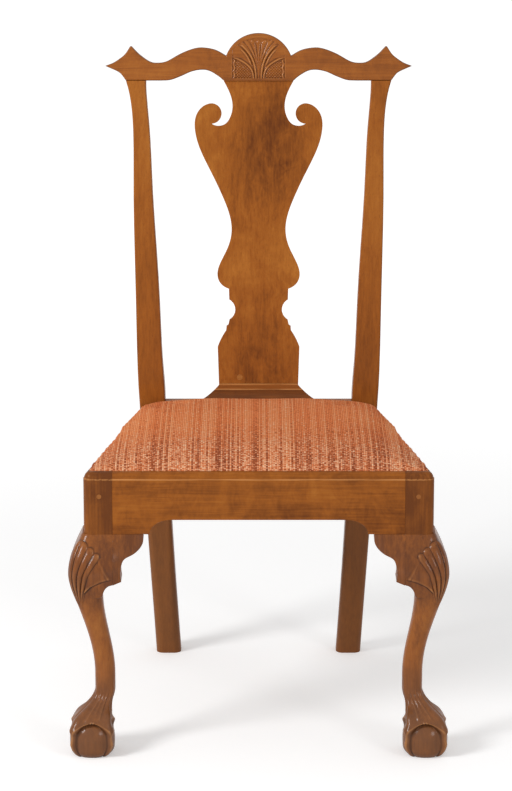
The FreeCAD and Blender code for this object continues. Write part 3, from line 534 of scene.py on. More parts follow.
def on_back(surface):
    """Leans points made upright at the rail top back with the rear posts."""
    x, y, z = np.moveaxis(surface, -1, 0)
    c, s = math.cos(BACK_RAKE), math.sin(BACK_RAKE)
    return np.stack([x, FRONT + SEAT_DEPTH + c * y + s * z, RAIL_TOP - s * y + c * z], -1)


print("height of the crest at its middle and its end", crest_edges(np.array([0.0, CREST_END]))[1])


# %% [markdown]
# The shell is drawn with the carver's own lines. A fan of lobes springs from the middle of the
# foot and opens as the cube of the height. A bold rib bounds the fan on each side, a second one
# curls out lower down, and the ground between it and the border is cross-hatched. All of it is one
# height over the face: ridges are bells about a line, and the ground is cut back between them.

# %% Relief of the shell
GROUND = 1.0            # carved field below the face
FIELD_HALF = 42.0       # half width of the carved field
RIM = 5.6               # plain border under the arc
FAN_TOP = 63.0
HATCH = 4.4             # hatching cuts, measured across


def fan_line(z):
    return 4.5 + 4.0 * (z / 30.0) ** 2.8


def curl_line(z):
    return 8.0 + 17.0 * (z / 30.0) ** 3


def from_line(x, z, line):
    """Distance across a leaning line: the sideways distance times the cosine of its lean."""
    slope = line(z + 0.5) - line(z - 0.5)
    return (x - line(z)) / np.sqrt(1 + slope ** 2)


def rib(distance, height, cut):
    """Rounded rib with a cut along both sides."""
    return height * bump(distance, 1.3) - cut * (bump(distance - 2.5, 0.9) + bump(distance + 2.5, 0.9))


def shell_relief(x, z, upper):
    """Height of the carving over the face, in millimetres, from half width x and height z."""
    z = np.maximum(z, 0.6)
    inside = smooth((FIELD_HALF - x) / 1.4) * smooth(((upper - z) * 0.85 - RIM) / 1.6)
    inside = inside * smooth((z - 3.0) / 1.4)
    fan = from_line(x, z, fan_line)
    curl = from_line(x, z, curl_line)
    share = np.clip(x / fan_line(z), 0, 1.2)
    petal = np.abs(np.cos(3.5 * np.pi * share)) ** 0.6
    reach = smooth((FAN_TOP + 2.0 * np.cos(7 * np.pi * share) - z) / 2.5)
    size = np.minimum(1.0, fan_line(z) / 16.0)
    height = smooth((0.4 - fan) / 0.8) * (reach * (1.5 * petal - 0.5) * size + 0.1)
    height += rib(fan, 1.7, 0.6) * smooth((57.0 - z) / 3.0)
    height += rib(fan - 4.8, 1.1, 0.4) * smooth((50.0 - z) / 3.0) * smooth((z - 22.0) / 10.0)
    height += rib(curl, 1.6, 0.7) * smooth((36.5 - z) / 2.0)
    height += smooth((fan - 3.0) / 3.0) * smooth((-curl - 1.0) / 3.0) * 0.55
    height += smooth((curl + 1.0) / 2.0) * smooth((z - 36.0) / 3.0) * 0.55
    cuts = np.minimum(np.abs(np.sin(np.pi * (x + z) / HATCH)), np.abs(np.sin(np.pi * (x - z) / HATCH)))
    hatched = smooth((curl - 3.0) / 1.0) * smooth((32.0 - z) / 1.5) * smooth((FIELD_HALF - 5.0 - x) / 1.0)
    height -= hatched * 0.9 * (1 - smooth(cuts / 0.6))
    edge = x - (FIELD_HALF - 3.4 + 0.9 * np.sin(z * 0.55))
    height += rib(edge, 0.8, 0.5) * smooth((34.0 - z) / 2.0)
    return inside * (np.minimum(height, GROUND + 0.4) - GROUND)


print("widths of fan and curl at the shell's spring", fan_line(SHELL_SPRING), curl_line(SHELL_SPRING))


# %% [markdown]
# The board takes outline and relief together. Rows lie close in the shell, where the carving is
# fine, and further apart towards the ears. All edges are rounded but the foot over the splat, which
# has to close the joint, and a painted dark line of shade runs along the rounded edges.

# %% Crest rail
SHELL_RUN = 54.0        # half width with close rows
FOOT_HALF = 55.0        # half width of the sharp foot over the splat
EDGE_ROUND = 3.0
# Painted shade: strength and width of a dark line along the crest's rounded edges.
EDGE_SHADE, EDGE_SHADE_WIDTH = 0.6, 1.2
HOLLOW_REACH = 5        # cells that a point is compared with, on each side


def crest_surface():
    """Rows are upright slices over the width; a loop goes up the front and down the back."""
    shell = np.linspace(0, SHELL_RUN, 116)
    wing = SHELL_RUN + (CREST_END - SHELL_RUN) * np.linspace(0, 1, 92)[1:] ** 0.95
    half = np.concatenate([shell, wing])
    across = np.concatenate([-half[:0:-1], half])[:, None]
    x = np.abs(across)
    lower, upper = (edge[:, None] for edge in crest_edges(x[:, 0]))
    t = np.linspace(0, 1, 142)
    z = lower + (upper - lower) * (0.75 * t + 0.25 * smooth(t))
    relief = shell_relief(x, z, upper)
    over_splat = x < FOOT_HALF

    def easing(z):
        """Rounds an edge: a quarter circle over the last few millimetres of height."""
        edge = np.minimum(z - lower, upper - z)
        edge = np.where((z - lower < EDGE_ROUND) & over_splat, EDGE_ROUND, edge)
        d = np.clip(1 - edge / EDGE_ROUND, 0, 1)
        return EDGE_ROUND * (1 - np.sqrt(1 - d ** 2))

    back_z = lower + (upper - lower) * smooth(np.linspace(1, 0, 22))
    back_y = CREST_THICK - easing(back_z)
    loop_z = np.concatenate([z, back_z], 1)
    loop_y = np.concatenate([easing(z) - relief, back_y], 1)
    loop_x = np.broadcast_to(across, loop_z.shape)
    surface = on_back(np.stack([loop_x, loop_y, CREST_SEAT + loop_z], -1))
    from_edge = np.minimum(upper - z, z - lower + 90.0 * over_splat)
    # Hollows darkened as dust and painted shade, less a painted dark line of shade along the edges.
    shade = hollows(relief, HOLLOW_REACH) - EDGE_SHADE * bump(from_edge, EDGE_SHADE_WIDTH)
    return surface, np.concatenate([shade, np.zeros_like(back_y)], 1)


finished("carved_crest_rail", closed_mesh("carved_crest_rail", *crest_surface()), "chair_frame",
         "chair_wood", crest_wood, "crest_rail", sharp=50)


# %% [markdown]
# Each front leg is one piece of wood from the floor to the top of the rails. Its lower part bends
# out at the knee and in at the ankle, and ends in a foot like a bird's claw over a ball. Seen from
# above, every height has the same kind of section, a rounded square with its own centre, reach and
# squareness. So the whole leg is a grid of angle and height, and the carving adds to its radius.

# %% Form of the front leg
KNEE_OUT = 19.5         # knee beyond the faces of the post
KNEE_DROP = 61.0        # fullest part of the knee below the rails
KNEE_BACK = 30.2        # back of the leg under the brackets
THROAT_HEIGHT = 22.0
ANKLE_HEIGHT = 121.0
ANKLE_HALF = 15.25
ANKLE_CENTRE = 31.0     # behind both faces of the post
BALL_RADIUS = 34.0
BALL_CENTRE = 11.5
BALL_HEIGHT = 33.0
SOLE_ROUND = 12.0       # height over which the foot rounds in to the floor
KNUCKLE_HEIGHT = 50.0
FOOT_TOP = 86.0
FOOT_BLEND = 98.0       # where the foot has run out into the ankle


def leg_form(z):
    """Reach beyond the post's faces, back of the leg and centre of its section at height z."""
    knee, throat = RAIL_END - KNEE_DROP, KNEE_BASE - THROAT_HEIGHT
    over = KNEE_OUT * np.sin(np.pi / 2 * np.clip((RAIL_END - z) / KNEE_DROP, 0, 1))
    fall = np.clip((knee - z) / (knee - ANKLE_HEIGHT), 0, 1)
    out = np.where(z >= knee, over, mix(KNEE_OUT, ANKLE_HALF - ANKLE_CENTRE, smooth(fall ** 0.8)))
    back = mix(KNEE_BACK, ANKLE_HALF + ANKLE_CENTRE, smooth((throat - z) / (throat - ANKLE_HEIGHT)))
    turn = np.clip((z - throat) / THROAT_HEIGHT, 0, 1)
    back = np.where(z > throat, mix(KNEE_BACK, LEG_POST, 1 - np.sqrt(1 - turn ** 2)), back)
    centre = np.where(z > throat, (KNEE_BACK - out) / 2, (back - out) / 2)
    foot_half, foot_centre = foot_form(z)
    foot = z < FOOT_BLEND
    return (np.where(foot, foot_half - foot_centre, out), np.where(foot, foot_half + foot_centre, back),
            np.where(foot, foot_centre, centre))


def foot_form(z):
    """Half width and centre of the foot at height z: a ball below, drawn in to the ankle above."""
    rise = smooth((z - BALL_HEIGHT) / (FOOT_TOP - BALL_HEIGHT)) ** 1.6
    half = mix(BALL_RADIUS, ANKLE_HALF, rise)
    drop = np.clip((BALL_HEIGHT - z) / BALL_HEIGHT, 0, 1)
    sole = np.clip((SOLE_ROUND - z) / SOLE_ROUND, 0, 1)
    half = half - 2.5 * drop ** 2 - 8.0 * sole ** 2.2
    inwards = smooth((z - KNUCKLE_HEIGHT) / (FOOT_BLEND - KNUCKLE_HEIGHT))
    return half, mix(BALL_CENTRE, ANKLE_CENTRE, inwards)


print("half width of the foot at the ball and at its top", foot_form(np.array([BALL_HEIGHT, FOOT_TOP]))[0])


# %% [markdown]
# Two carvings sit on that form. On the knee, lobes spring from a point low on the outer corner and
# fan out upwards, three on each face, with a leaf that curls towards the bracket. Height and the
# distance round the section from that corner are enough to draw them, so both faces share one rule.

# %% Relief of the knee
FAN_FOOT = 224.0        # height of the point where the lobes meet
FAN_LINE = ((224.0, 0.8), (235.0, 4.0), (250.0, 9.0), (272.0, 19.0), (292.0, 27.0), (313.0, 38.0),
            (325.0, 44.0), (347.0, 54.0))
LEAF_LINE = ((224.0, 1.0), (237.0, 5.5), (260.0, 15.0), (270.0, 27.0), (278.0, 44.0), (284.0, 70.0),
             (347.0, 90.0))
KNEE_LOBES = 3


def knee_relief(s, z):
    """Height of the knee carving at distance s round the section from the corner."""
    fan_half = np.interp(z, *np.transpose(FAN_LINE))
    leaf_half = np.interp(z, *np.transpose(LEAF_LINE))
    share = s / np.maximum(fan_half, 0.5)
    phase = share * KNEE_LOBES
    lobe = (1 - (2 * (phase % 1.0) - 1) ** 2) ** 0.6
    top = 337.0 - 24.0 * np.clip(share, 0, 1) ** 0.9 + 3.0 * np.abs(np.sin(np.pi * phase))
    near = np.clip((top - z) / 9.0, 0, 1)
    ends = np.sqrt(np.clip(1 - (1 - near) ** 2, 0, 1))
    size = np.clip(fan_half / 16.0, 0.12, 1.0) * smooth((z - FAN_FOOT) / 14.0)
    lobes = smooth((1.02 - share) / 0.05) * (z < top) * (2.6 * lobe * ends - 0.7) * size
    hook = 314.0 - 1.5 * (s - 38.0)
    leaf_place = np.clip((s - fan_half) / np.maximum(leaf_half - fan_half, 1.0), 0, 1)
    in_leaf = smooth((share - 1.0) / 0.04) * smooth((leaf_half - s) / 1.5) * smooth((hook - z) / 2.5)
    leaf_edge = np.sqrt(np.clip(1 - (1 - np.minimum(1, (hook - z) / 14.0)) ** 2, 0, 1))
    vein = 0.6 * bump(hook - z - 9.0 - 0.25 * (s - 38.0), 1.6)
    swell = np.sin(np.pi * np.clip(leaf_place, 0.04, 0.96)) ** 0.5
    leaf = in_leaf * (2.2 * leaf_edge * swell - 0.6 - vein) * size
    cut_back = bump(z - top, 5.0) * smooth((1.3 - share) / 0.4) * (z >= top) * -0.9
    cut_back += bump(np.maximum(0, s - leaf_half), 3.0) * (s > leaf_half) * (z < 300.0) * -0.8 * size
    return lobes + leaf + cut_back


print("knee carving near the corner stands out by", round(float(knee_relief(5.0, 300.0)), 2), "mm")


# %% [markdown]
# On the foot, four toes with knuckles run down the corners, and the ball shows between them under an
# arched web. The angle about the foot's centre draws all four quarters at once. The finish gets a
# fainter copy of this relief, so that toes and ball as a whole keep the tone of the wood.

# %% Relief of the foot
CLAW_RELIEF = 8.0
BALL_SUNK = -9.0        # deepest that the ball lies behind the web
WEB_ARCH = 55.0         # top of the ball's visible face
ARCH_HEIGHT = 22.0
ARCH_HALF = 0.71        # half width of that face, in radians about the ball
BALL_MIDDLE = 25.0      # height of the ball's widest part
BALL_RISE = 35.0        # top of the ball above that
KNUCKLES = ((63.0, 6.5), (43.0, 6.0), (22.0, 6.0))   # height and half length of each


def ball_radius(z):
    """Radius of the ball: an upright ellipse above its middle, a barrel rounded at the floor below."""
    above = np.sqrt(np.clip(1 - (np.maximum(z - BALL_MIDDLE, 0) / BALL_RISE) ** 2, 0.1, 1))
    below = np.clip((BALL_MIDDLE - z) / BALL_MIDDLE, 0, 1)
    sole = np.clip((SOLE_ROUND - z) / SOLE_ROUND, 0, 1)
    return BALL_RADIUS * above - 1.5 * below ** 2 - 6.5 * sole ** 2.2


def foot_relief(turn, z):
    """What toes, knuckles and the sunk ball add to the foot's radius at an angle and height."""
    half_width, _ = foot_form(z)
    off = (turn % (np.pi / 2)) - np.pi / 4
    from_face = np.pi / 4 - np.abs(off)
    shift = smooth((z - KNUCKLE_HEIGHT) / (FOOT_TOP - KNUCKLE_HEIGHT))
    knuckles = sum(bump(z - height, half) for height, half in KNUCKLES)
    nail = smooth((15.0 - z) / 9.0)
    strength = np.maximum(CLAW_RELIEF * (1 - shift) - 1.8 + 2.6 * knuckles - 2.6 * nail, 0)
    strength = strength + 2.2 * smooth((z - 58.0) / 16.0) * smooth((116.0 - z) / 30.0)
    toe = strength * np.exp(-np.abs(off / mix(0.24, 0.16, nail)) ** 2.4)
    rise = np.clip((z - (WEB_ARCH - ARCH_HEIGHT)) / ARCH_HEIGHT, 0, 1)
    arch = ARCH_HALF * np.sqrt(1 - rise ** 2) * mix(1.0, 0.95, smooth((20.0 - z) / 20.0))
    within = arch - from_face
    below = smooth(within / 0.12) * (z < WEB_ARCH)
    cut = bump(within - 0.04, 0.04) * (z < WEB_ARCH + 1)
    rim = bump(within + 0.06, 0.05) * smooth((WEB_ARCH + 5 - z) / 4.0)
    tendon = bump(from_face - 0.33, 0.09) * smooth((z - WEB_ARCH) / 8.0) * smooth((104.0 - z) / 26.0)
    tendon = tendon + 0.7 * bump(from_face, 0.09) * smooth((z - 62.0) / 8.0) * smooth((98.0 - z) / 20.0)
    ball = below * np.maximum(ball_radius(z) - half_width, BALL_SUNK)
    toe = toe * (1 - below)
    relief = toe + ball - 1.2 * cut + 0.8 * rim + 1.5 * tendon
    return relief, relief - 0.75 * toe - 0.8 * ball


print("radius of the ball at the floor and at its middle", ball_radius(np.array([0.0, BALL_MIDDLE])))


# %% [markdown]
# Now angle and height become points. The section is a rounded square: each half axis is raised to a
# power, where two gives a circle and a high power sharp corners. At the knee one column of points
# has to follow the sharp inner corner, where the brackets meet, and on the foot columns are even.

# %% Surface of the front leg
BACK_COLUMNS = 36       # columns on each of the two inner faces at the knee
COLUMNS = 256
SORTED_FROM, SORTED_RUN = 150.0, 60.0   # height where columns begin to follow the corners
CLAW_END, SHANK_END = 104.0, 222.0      # heights where the spacing of the rows changes
FOOT_CARVED = 130.0                     # no carving of the foot above


def leg_angles(z, out, back, centre):
    """Angle of each column: even on the foot; at the knee one column follows each inner corner."""
    t = np.linspace(0, 1, COLUMNS, endpoint=False)[None, :]
    k = BACK_COLUMNS / COLUMNS
    start = np.pi / 4
    corner = np.arctan2(back - centre, -(out + centre))
    first = start + (corner - start) * t / k
    middle = corner + (2.5 * np.pi - 2 * corner) * (t - k) / (1 - 2 * k)
    last = 2.5 * np.pi - corner + (corner - start) * (t - 1 + k) / k
    sorted_out = np.where(t < k, first, np.where(t <= 1 - k, middle, last))
    return mix(start + 2 * np.pi * t, sorted_out, smooth((z - SORTED_FROM) / SORTED_RUN))


def leg_surface():
    """Rows are heights and columns angles; x and y run inwards from the faces of the post."""
    shank_rows = np.linspace(CLAW_END, SHANK_END, 44)[1:]
    knee_rows = np.linspace(SHANK_END, RAIL_END, 158)[1:]
    z = np.concatenate([np.linspace(0, CLAW_END, 150), shank_rows, knee_rows])[:, None]
    out, back, centre = leg_form(z)
    turn = leg_angles(z, out, back, centre)
    c, s = np.cos(turn), np.sin(turn)
    heights = (ANKLE_HEIGHT, KNEE_BASE - THROAT_HEIGHT, KNEE_BASE, RAIL_END)
    outer_square = np.interp(z, heights, (2.15, 3.0, 3.2, 2.65))
    inner_square = np.interp(z, heights, (2.15, 3.0, 90.0, 400.0))
    square = np.where((c < 0) & (s < 0), outer_square, inner_square)
    across = np.abs(c) / np.where(c > 0, back - centre, out + centre)
    along = np.abs(s) / np.where(s > 0, back - centre, out + centre)
    most = np.maximum(across, along)
    radius = ((across / most) ** square + (along / most) ** square) ** (-1 / square) / most
    foot, foot_lines = foot_relief(turn, z)
    low = z < FOOT_CARVED
    radius = radius + np.where(low, foot, 0.0)
    x, y = centre + radius * c, centre + radius * s
    step = np.hypot(np.diff(x, axis=1), np.diff(y, axis=1))
    length = np.concatenate([np.zeros_like(z), np.cumsum(step, 1)], 1)
    from_corner = np.abs(length - length[:, COLUMNS // 2, None])
    column = np.arange(COLUMNS)[None, :]
    faces = (column > BACK_COLUMNS) & (column < COLUMNS - BACK_COLUMNS)
    knee = np.where((z > FAN_FOOT - 6) & faces, knee_relief(from_corner, z), 0.0)
    shoulder = smooth((z - (RAIL_END - 3.0)) / 3.0) * -0.4 * faces
    radius = radius + knee + shoulder
    x, y = centre + radius * c, centre + radius * s
    relief = hollows(np.where(low, 0.5 * foot_lines, 0.8 * knee), HOLLOW_REACH)
    return np.stack([x, y, np.broadcast_to(z, x.shape)], -1), relief


print("points of a carved leg", leg_surface()[1].size)


# %% [markdown]
# The carving ends at the rails. The post above is square with a moulded edge, just as in CAD, so it
# is cut from a copy of the solid and joined to the carving in one mesh. Its level faces are shaded
# flat, because smooth shading across the moulding would bend the light on them.

# %% Front legs
def leg_mesh(name, side):
    """Carved leg from the floor to the rails, and the square post above from the solid's copy."""
    surface, relief = leg_surface()
    x, y, z = np.moveaxis(surface, -1, 0)
    mesh = closed_mesh(name, np.stack([side * (HALF_FRONT - x), FRONT + y, z], -1), relief)
    post = bmesh.new()
    post.from_mesh(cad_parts["left_front_leg" if side < 0 else "right_front_leg"].data)
    bmesh.ops.remove_doubles(post, verts=post.verts, dist=1e-6)
    whole = list(post.verts) + list(post.edges) + list(post.faces)
    cut = (RAIL_END + 0.05) * MM
    bmesh.ops.bisect_plane(post, geom=whole, plane_co=(0, 0, cut), plane_no=(0, 0, 1), clear_inner=True)
    bmesh.ops.holes_fill(post, edges=[e for e in post.edges if e.is_boundary], sides=0)
    post_mesh = bpy.data.meshes.new(name + "_post")
    post.to_mesh(post_mesh)
    post.free()
    both = bmesh.new()
    both.from_mesh(mesh)
    both.from_mesh(post_mesh)
    both.to_mesh(mesh)
    both.free()
    return mesh


def flat_post(mesh):
    """Shades the level faces of the post flat, so that its mouldings don't bend their light."""
    centre = np.empty(len(mesh.polygons) * 3)
    normal = np.empty(len(mesh.polygons) * 3)
    mesh.polygons.foreach_get("center", centre)
    mesh.polygons.foreach_get("normal", normal)
    level = np.abs(normal.reshape(-1, 3)).max(1) > 0.9999
    mesh.polygons.foreach_set("use_smooth", ~(level & (centre[2::3] > RAIL_END * MM)))


for side, sign in (("left", -1), ("right", 1)):
    name = side + "_carved_leg"
    leg = finished(name, leg_mesh(name, sign), "chair_frame", "chair_wood", leg_wood,
                   side + "_front_leg")
    flat_post(leg.data)
    even_normals(leg)


# %% [markdown]
# The slip seat lifts out. Its cover is a striped, ribbed weave pulled over padding. Each rib takes
# a random shade from its own number, and noise drawn out along it makes the dashes of other threads.
# A picture of cloth would repeat, and this doesn't.

# %% Finish of the seat cloth
RIB = 0.0027            # one rib of the weave, in metres
RUST_TONES = ((0.08, (0.25, 0.054, 0.018)), (0.34, (0.52, 0.112, 0.032)),
              (0.58, (0.71, 0.185, 0.056)), (0.92, (0.76, 0.28, 0.11)))
CREAM = (0.82, 0.53, 0.33)
DARK_THREAD = (0.16, 0.045, 0.022)
# Painted shade in the grooves between ribs.
SHADE_BETWEEN_RIBS = (0.20, 0.05, 0.022)


def seat_cloth():
    """Ribs run front to back. Each has its own shade, and dashes of other threads along it. Where
    the seat falls away at the front, the drop is added to the distance along the cloth."""
    made = Finish("seat_cloth", IOR=1.4, Roughness=0.95, Specular_IOR_Level=0.1)
    fall = (RAIL_TOP + 20.0) * MM - made.axis("Z")
    across = made.axis("X") * (1 / RIB)
    depth = made.axis("Y")
    along = depth + fall * (depth * 8.0).within(-1.0, 1.0)
    number = across.math("FLOOR")
    crown = (across * (2 * math.pi) - math.pi / 2).math("SINE") * 0.5 + 0.5
    own = made.node("ShaderNodeTexWhiteNoise", {"noise_dimensions": "1D"}, {"W": number})
    thread = made.node("ShaderNodeCombineXYZ", None, {0: number * 3.7, 1: along * 300.0})
    dashes = made.noise(thread, 1.0, 2.0, 0.6)
    pick = made.node("ShaderNodeCombineXYZ", None, {0: across * 0.8, 1: along * 600.0})
    picks = made.noise(pick, 1.0, 1.0)
    broad = made.noise(made.stretched((1.0, 0.02, 0.0)), 34.0, 3.0, 0.7)
    cloudy = made.noise(made.place, 8.0, 2.0)
    front = 1 - along.between(-0.24, 0.0)
    level = (broad - 0.5) * 0.55 + (own - 0.5) * 0.34 + (dashes - 0.5) * 0.5 + (cloudy - 0.5) * 0.5
    # Painted light and shade on the ribs: each rib's crown is lighter, the grooves between darker.
    level = level + crown * 0.26 - front * 0.24 + 0.61
    colour = made.ramp(level, *RUST_TONES)
    cream = (dashes * 0.8 + own * 0.10 + picks * 0.30 + front * 0.09).between(0.65, 0.82)
    colour = made.blend(cream * 0.8, colour, CREAM)
    dark = (dashes * 0.7 + own * 0.14 + picks * 0.25 - front * 0.08).between(0.48, 0.34)
    colour = made.blend(dark * 0.75, colour, DARK_THREAD)
    # Painted shade in the grooves between the ribs.
    colour = made.blend((1 - crown).between(0.7, 1.0) * 0.35, colour, SHADE_BETWEEN_RIBS)
    made.set("Base Color", colour)
    made.relieve(crown * 0.7 + picks * 0.5 + dashes * 0.4, 0.6, 0.001)
    return made.material


cloth_finish = seat_cloth()
print("ribs across the front of the seat", round(2 * HALF_FRONT * MM / RIB))


# %% [markdown]
# The padding stands on a small frame that sits in the rebate of the rails. Below the rail tops it is
# as narrow as that frame, and above them it rolls out over the rails. The form is a closed sheet
# again: slices across the seat, each up one side, over a domed top and down the other.

# %% Form of the slip seat
cover_low, cover_high = corners("seat_cover")
SEAT_CROWN = 18.0       # top of the seat above its rolled edge
SIDE_FULLNESS, FRONT_FULLNESS, REAR_FULLNESS = 2.7, 5.0, 6.0
REAR_SIDES = 8.0        # side fullness near the back
REAR_LIFT, REAR_CROWN = 4.5, 10.0   # higher rolled edge and lower crown at the back
ROLL_RISE = 3.6         # height of the rolled edge above the rails
REAR_CORNER, FRONT_CORNER = 40.0, 12.0   # rounding of the padding, seen from above
SIDE_ROLL, FRONT_ROLL, REAR_ROLL = 11.0, 6.0, 3.5   # edge beyond the frame on each side
REST = 0.9              # rolled edge clear of the rails
HALF_REAR = 181.0       # middle of the chair to the outside of a side rail at the rear posts
SIDE_SLOPE = (HALF_FRONT - HALF_REAR) / SEAT_DEPTH
COVER_RETURN = 40.0     # cover turned under the frame
COVER_THICK = 1.2
LEDGE = cover_low[2]
ABOVE = 81              # points of a slice over the top


def seat_half(y):
    """Half width of the slip frame at a distance y behind the front of the seat."""
    return cover_high[0] - SIDE_SLOPE * (y - (cover_low[1] - FRONT))


def drawn_in(distance, radius):
    """How far a corner rounded to a radius draws the side in at a distance from the end."""
    return radius - np.sqrt(radius ** 2 - np.clip(radius - distance, 0, radius) ** 2)


def seat_form():
    """Rows run front to back; a loop goes up one side, over the crown, down and back underneath."""
    b = np.sin(np.linspace(-np.pi / 2, np.pi / 2, 71))[:, None]
    a = np.sin(np.linspace(-np.pi / 2, np.pi / 2, ABOVE))[None, :]
    frame_y = mix(cover_low[1], cover_high[1], (b + 1) / 2)
    top_y = mix(cover_low[1] - FRONT_ROLL, cover_high[1] + REAR_ROLL, (b + 1) / 2)
    half = seat_half(frame_y - FRONT)
    from_rear, from_front = top_y[-1] - top_y, top_y - top_y[0]
    roll = SIDE_ROLL * (1 - 0.45 * np.abs(b) ** 4)
    roll = roll - drawn_in(from_rear, REAR_CORNER) - drawn_in(from_front, FRONT_CORNER)
    along = 1 - np.abs(b) ** np.where(b < 0, FRONT_FULLNESS, REAR_FULLNESS)
    rear = smooth(b + 0.1)
    fullness = mix(SIDE_FULLNESS, REAR_SIDES, rear)
    crown = mix(SEAT_CROWN, REAR_CROWN, rear) * along * (1 - np.abs(a) ** fullness)
    top = RAIL_TOP + ROLL_RISE + REAR_LIFT * rear + crown
    up = np.array([LEDGE, RAIL_TOP - 6.0, RAIL_TOP + REST])[None, :]
    side_x = np.broadcast_to(half, (len(b), 3))
    side_y = np.broadcast_to(frame_y, (len(b), 3))
    side_z = np.broadcast_to(up, (len(b), 3))
    x = np.concatenate([-side_x, a * (half + roll), side_x], 1)
    y = np.concatenate([side_y, np.broadcast_to(top_y, top.shape), side_y], 1)
    z = np.concatenate([side_z, top, side_z[:, ::-1]], 1)
    return np.stack([x, y, z], -1)


print("highest point of the seat form", round(float(seat_form()[..., 2].max()), 1), "mm")


# %% [markdown]
# A cloth solver needs even cells, so the form is remeshed and its skin evened first. Whatever the
# solver does, the cover may not sink into the wood: one function draws it back into the rebate or
# lifts it onto the rails.

# %% Helpers for the pad


def clear_of_rails(points):
    """Keeps the cover inside the rebate below the rail tops and above the rails beside it."""
    x, y, z = points.T / MM
    half = seat_half(y - FRONT)
    beyond = np.maximum(np.abs(x) - half, np.maximum(cover_low[1] - y, y - cover_high[1]))
    low = z < RAIL_TOP + REST
    lifted = low & (beyond > 0.4) & (z > RAIL_TOP - 5.0)
    z = np.where(lifted, RAIL_TOP + REST, z)
    drawn = low & ~lifted
    x = np.where(drawn, np.clip(x, -half, half), x)
    y = np.where(drawn, np.clip(y, cover_low[1], cover_high[1]), y)
    return np.stack([x, y, np.maximum(z, LEDGE)], 1) * MM


def vertex_places(mesh):
    points = np.empty(len(mesh.vertices) * 3)
    mesh.vertices.foreach_get("co", points)
    return points.reshape(-1, 3)


def relax(mesh, free, rounds):
    """Evens the remeshed skin: each free point moves halfway to the mean of its neighbours."""
    edges = np.empty(len(mesh.edges) * 2, np.int32)
    mesh.edges.foreach_get("vertices", edges)
    i, j = edges.reshape(-1, 2).T
    points = vertex_places(mesh)
    count = np.bincount(np.concatenate([i, j]), minlength=len(points))[:, None]
    for _ in range(rounds):
        total = np.zeros_like(points)
        np.add.at(total, i, points[j])
        np.add.at(total, j, points[i])
        points = points + 0.5 * free[:, None] * (total / count - points)
    mesh.vertices.foreach_set("co", points.ravel())
    mesh.update()
    return points


corner = np.array([[cover_high[0] + 3.0, cover_low[1], RAIL_TOP - 8.0]]) * MM
print("a point in the side rail moves by", np.round((clear_of_rails(corner) - corner) / MM, 2)[0], "mm")


# %% [markdown]
# Pressure then blows the pad up a little, as stuffing does under a cover that is pulled tight. The
# lower edge is held, gravity is off, and after a few frames the shape has settled. No point may go
# further than the cap, and the result is kept as plain points, with no simulation left in the file.

# %% Swell the pad
VOXEL = 0.0045
CAP = 5.0 * MM          # furthest that a point of the cover may move
PRESSURE = 4.0
STIFFNESS = 20.0
FRAMES = 20
EVENED, EVENED_AFTER = 14, 3    # rounds before and after the solver


def stuffed(name, mesh):
    """Remeshes a closed form evenly, swells it by pressure, and limits how far each point went."""
    pad = bpy.data.objects.new(name, mesh)
    bpy.context.scene.collection.objects.link(pad)
    bpy.context.view_layer.objects.active = pad
    remesh = pad.modifiers.new("even", "REMESH")
    remesh.mode = "VOXEL"
    remesh.voxel_size = VOXEL
    bpy.ops.object.modifier_apply(modifier=remesh.name)
    mesh = pad.data
    free = smooth((vertex_places(mesh)[:, 2] / MM - (RAIL_TOP - 3.0)) / 4.0)
    start = relax(mesh, np.maximum(free, 0.3), EVENED)
    held = pad.vertex_groups.new(name="held")
    held.add([int(k) for k in np.flatnonzero(free < 0.5)], 1.0, "REPLACE")
    cloth = pad.modifiers.new("swell", "CLOTH")
    cloth.settings.vertex_group_mass = "held"
    cloth.settings.use_pressure = True
    cloth.settings.uniform_pressure_force = PRESSURE
    cloth.settings.effector_weights.gravity = 0.0
    cloth.settings.tension_stiffness = STIFFNESS
    cloth.settings.compression_stiffness = STIFFNESS
    scene = bpy.context.scene
    for number in range(1, FRAMES + 1):
        scene.frame_set(number)
    shaped = pad.evaluated_get(bpy.context.evaluated_depsgraph_get())
    moved = vertex_places(shaped.data) - start
    pad.modifiers.remove(cloth)
    scene.frame_set(1)
    far = np.linalg.norm(moved, axis=1, keepdims=True)
    moved *= np.minimum(1.0, CAP / np.maximum(far, 1e-9)) * free[:, None]
    print("cover swelled by up to", round(float(np.linalg.norm(moved, axis=1).max()) / MM, 1), "mm")
    mesh.vertices.foreach_set("co", (start + moved).ravel())
    mesh.update()
    relax(mesh, free, EVENED_AFTER)
    mesh.vertices.foreach_set("co", clear_of_rails(vertex_places(mesh)).ravel())
    mesh.update()
    bpy.data.objects.remove(pad)
    return mesh


seat_mesh = stuffed("seat_form", closed_mesh("seat_form", seat_form()))
print("points of the pad", len(seat_mesh.vertices))


# %% [markdown]
# A real cover is tacked under its frame and open in the middle, where the straps show. So the middle
# of the underside is taken away and the rest gets the thickness of the cloth. One finer division
# hides the cells of the remesh.

# %% Cover of the slip seat
def open_underside(mesh):
    """Removes the faces under the seat that lie further in than the turned edge."""
    shape = bmesh.new()
    shape.from_mesh(mesh)
    front, rear = cover_low[1] + COVER_RETURN, cover_high[1] - COVER_RETURN

    def inside(face):
        x, y, z = face.calc_center_median() / MM
        return z < LEDGE + 4 and front < y < rear and abs(x) < seat_half(y - FRONT) - COVER_RETURN

    bmesh.ops.delete(shape, geom=[f for f in shape.faces if inside(f)], context="FACES")
    bmesh.ops.recalc_face_normals(shape, faces=shape.faces)
    shape.to_mesh(mesh)
    shape.free()


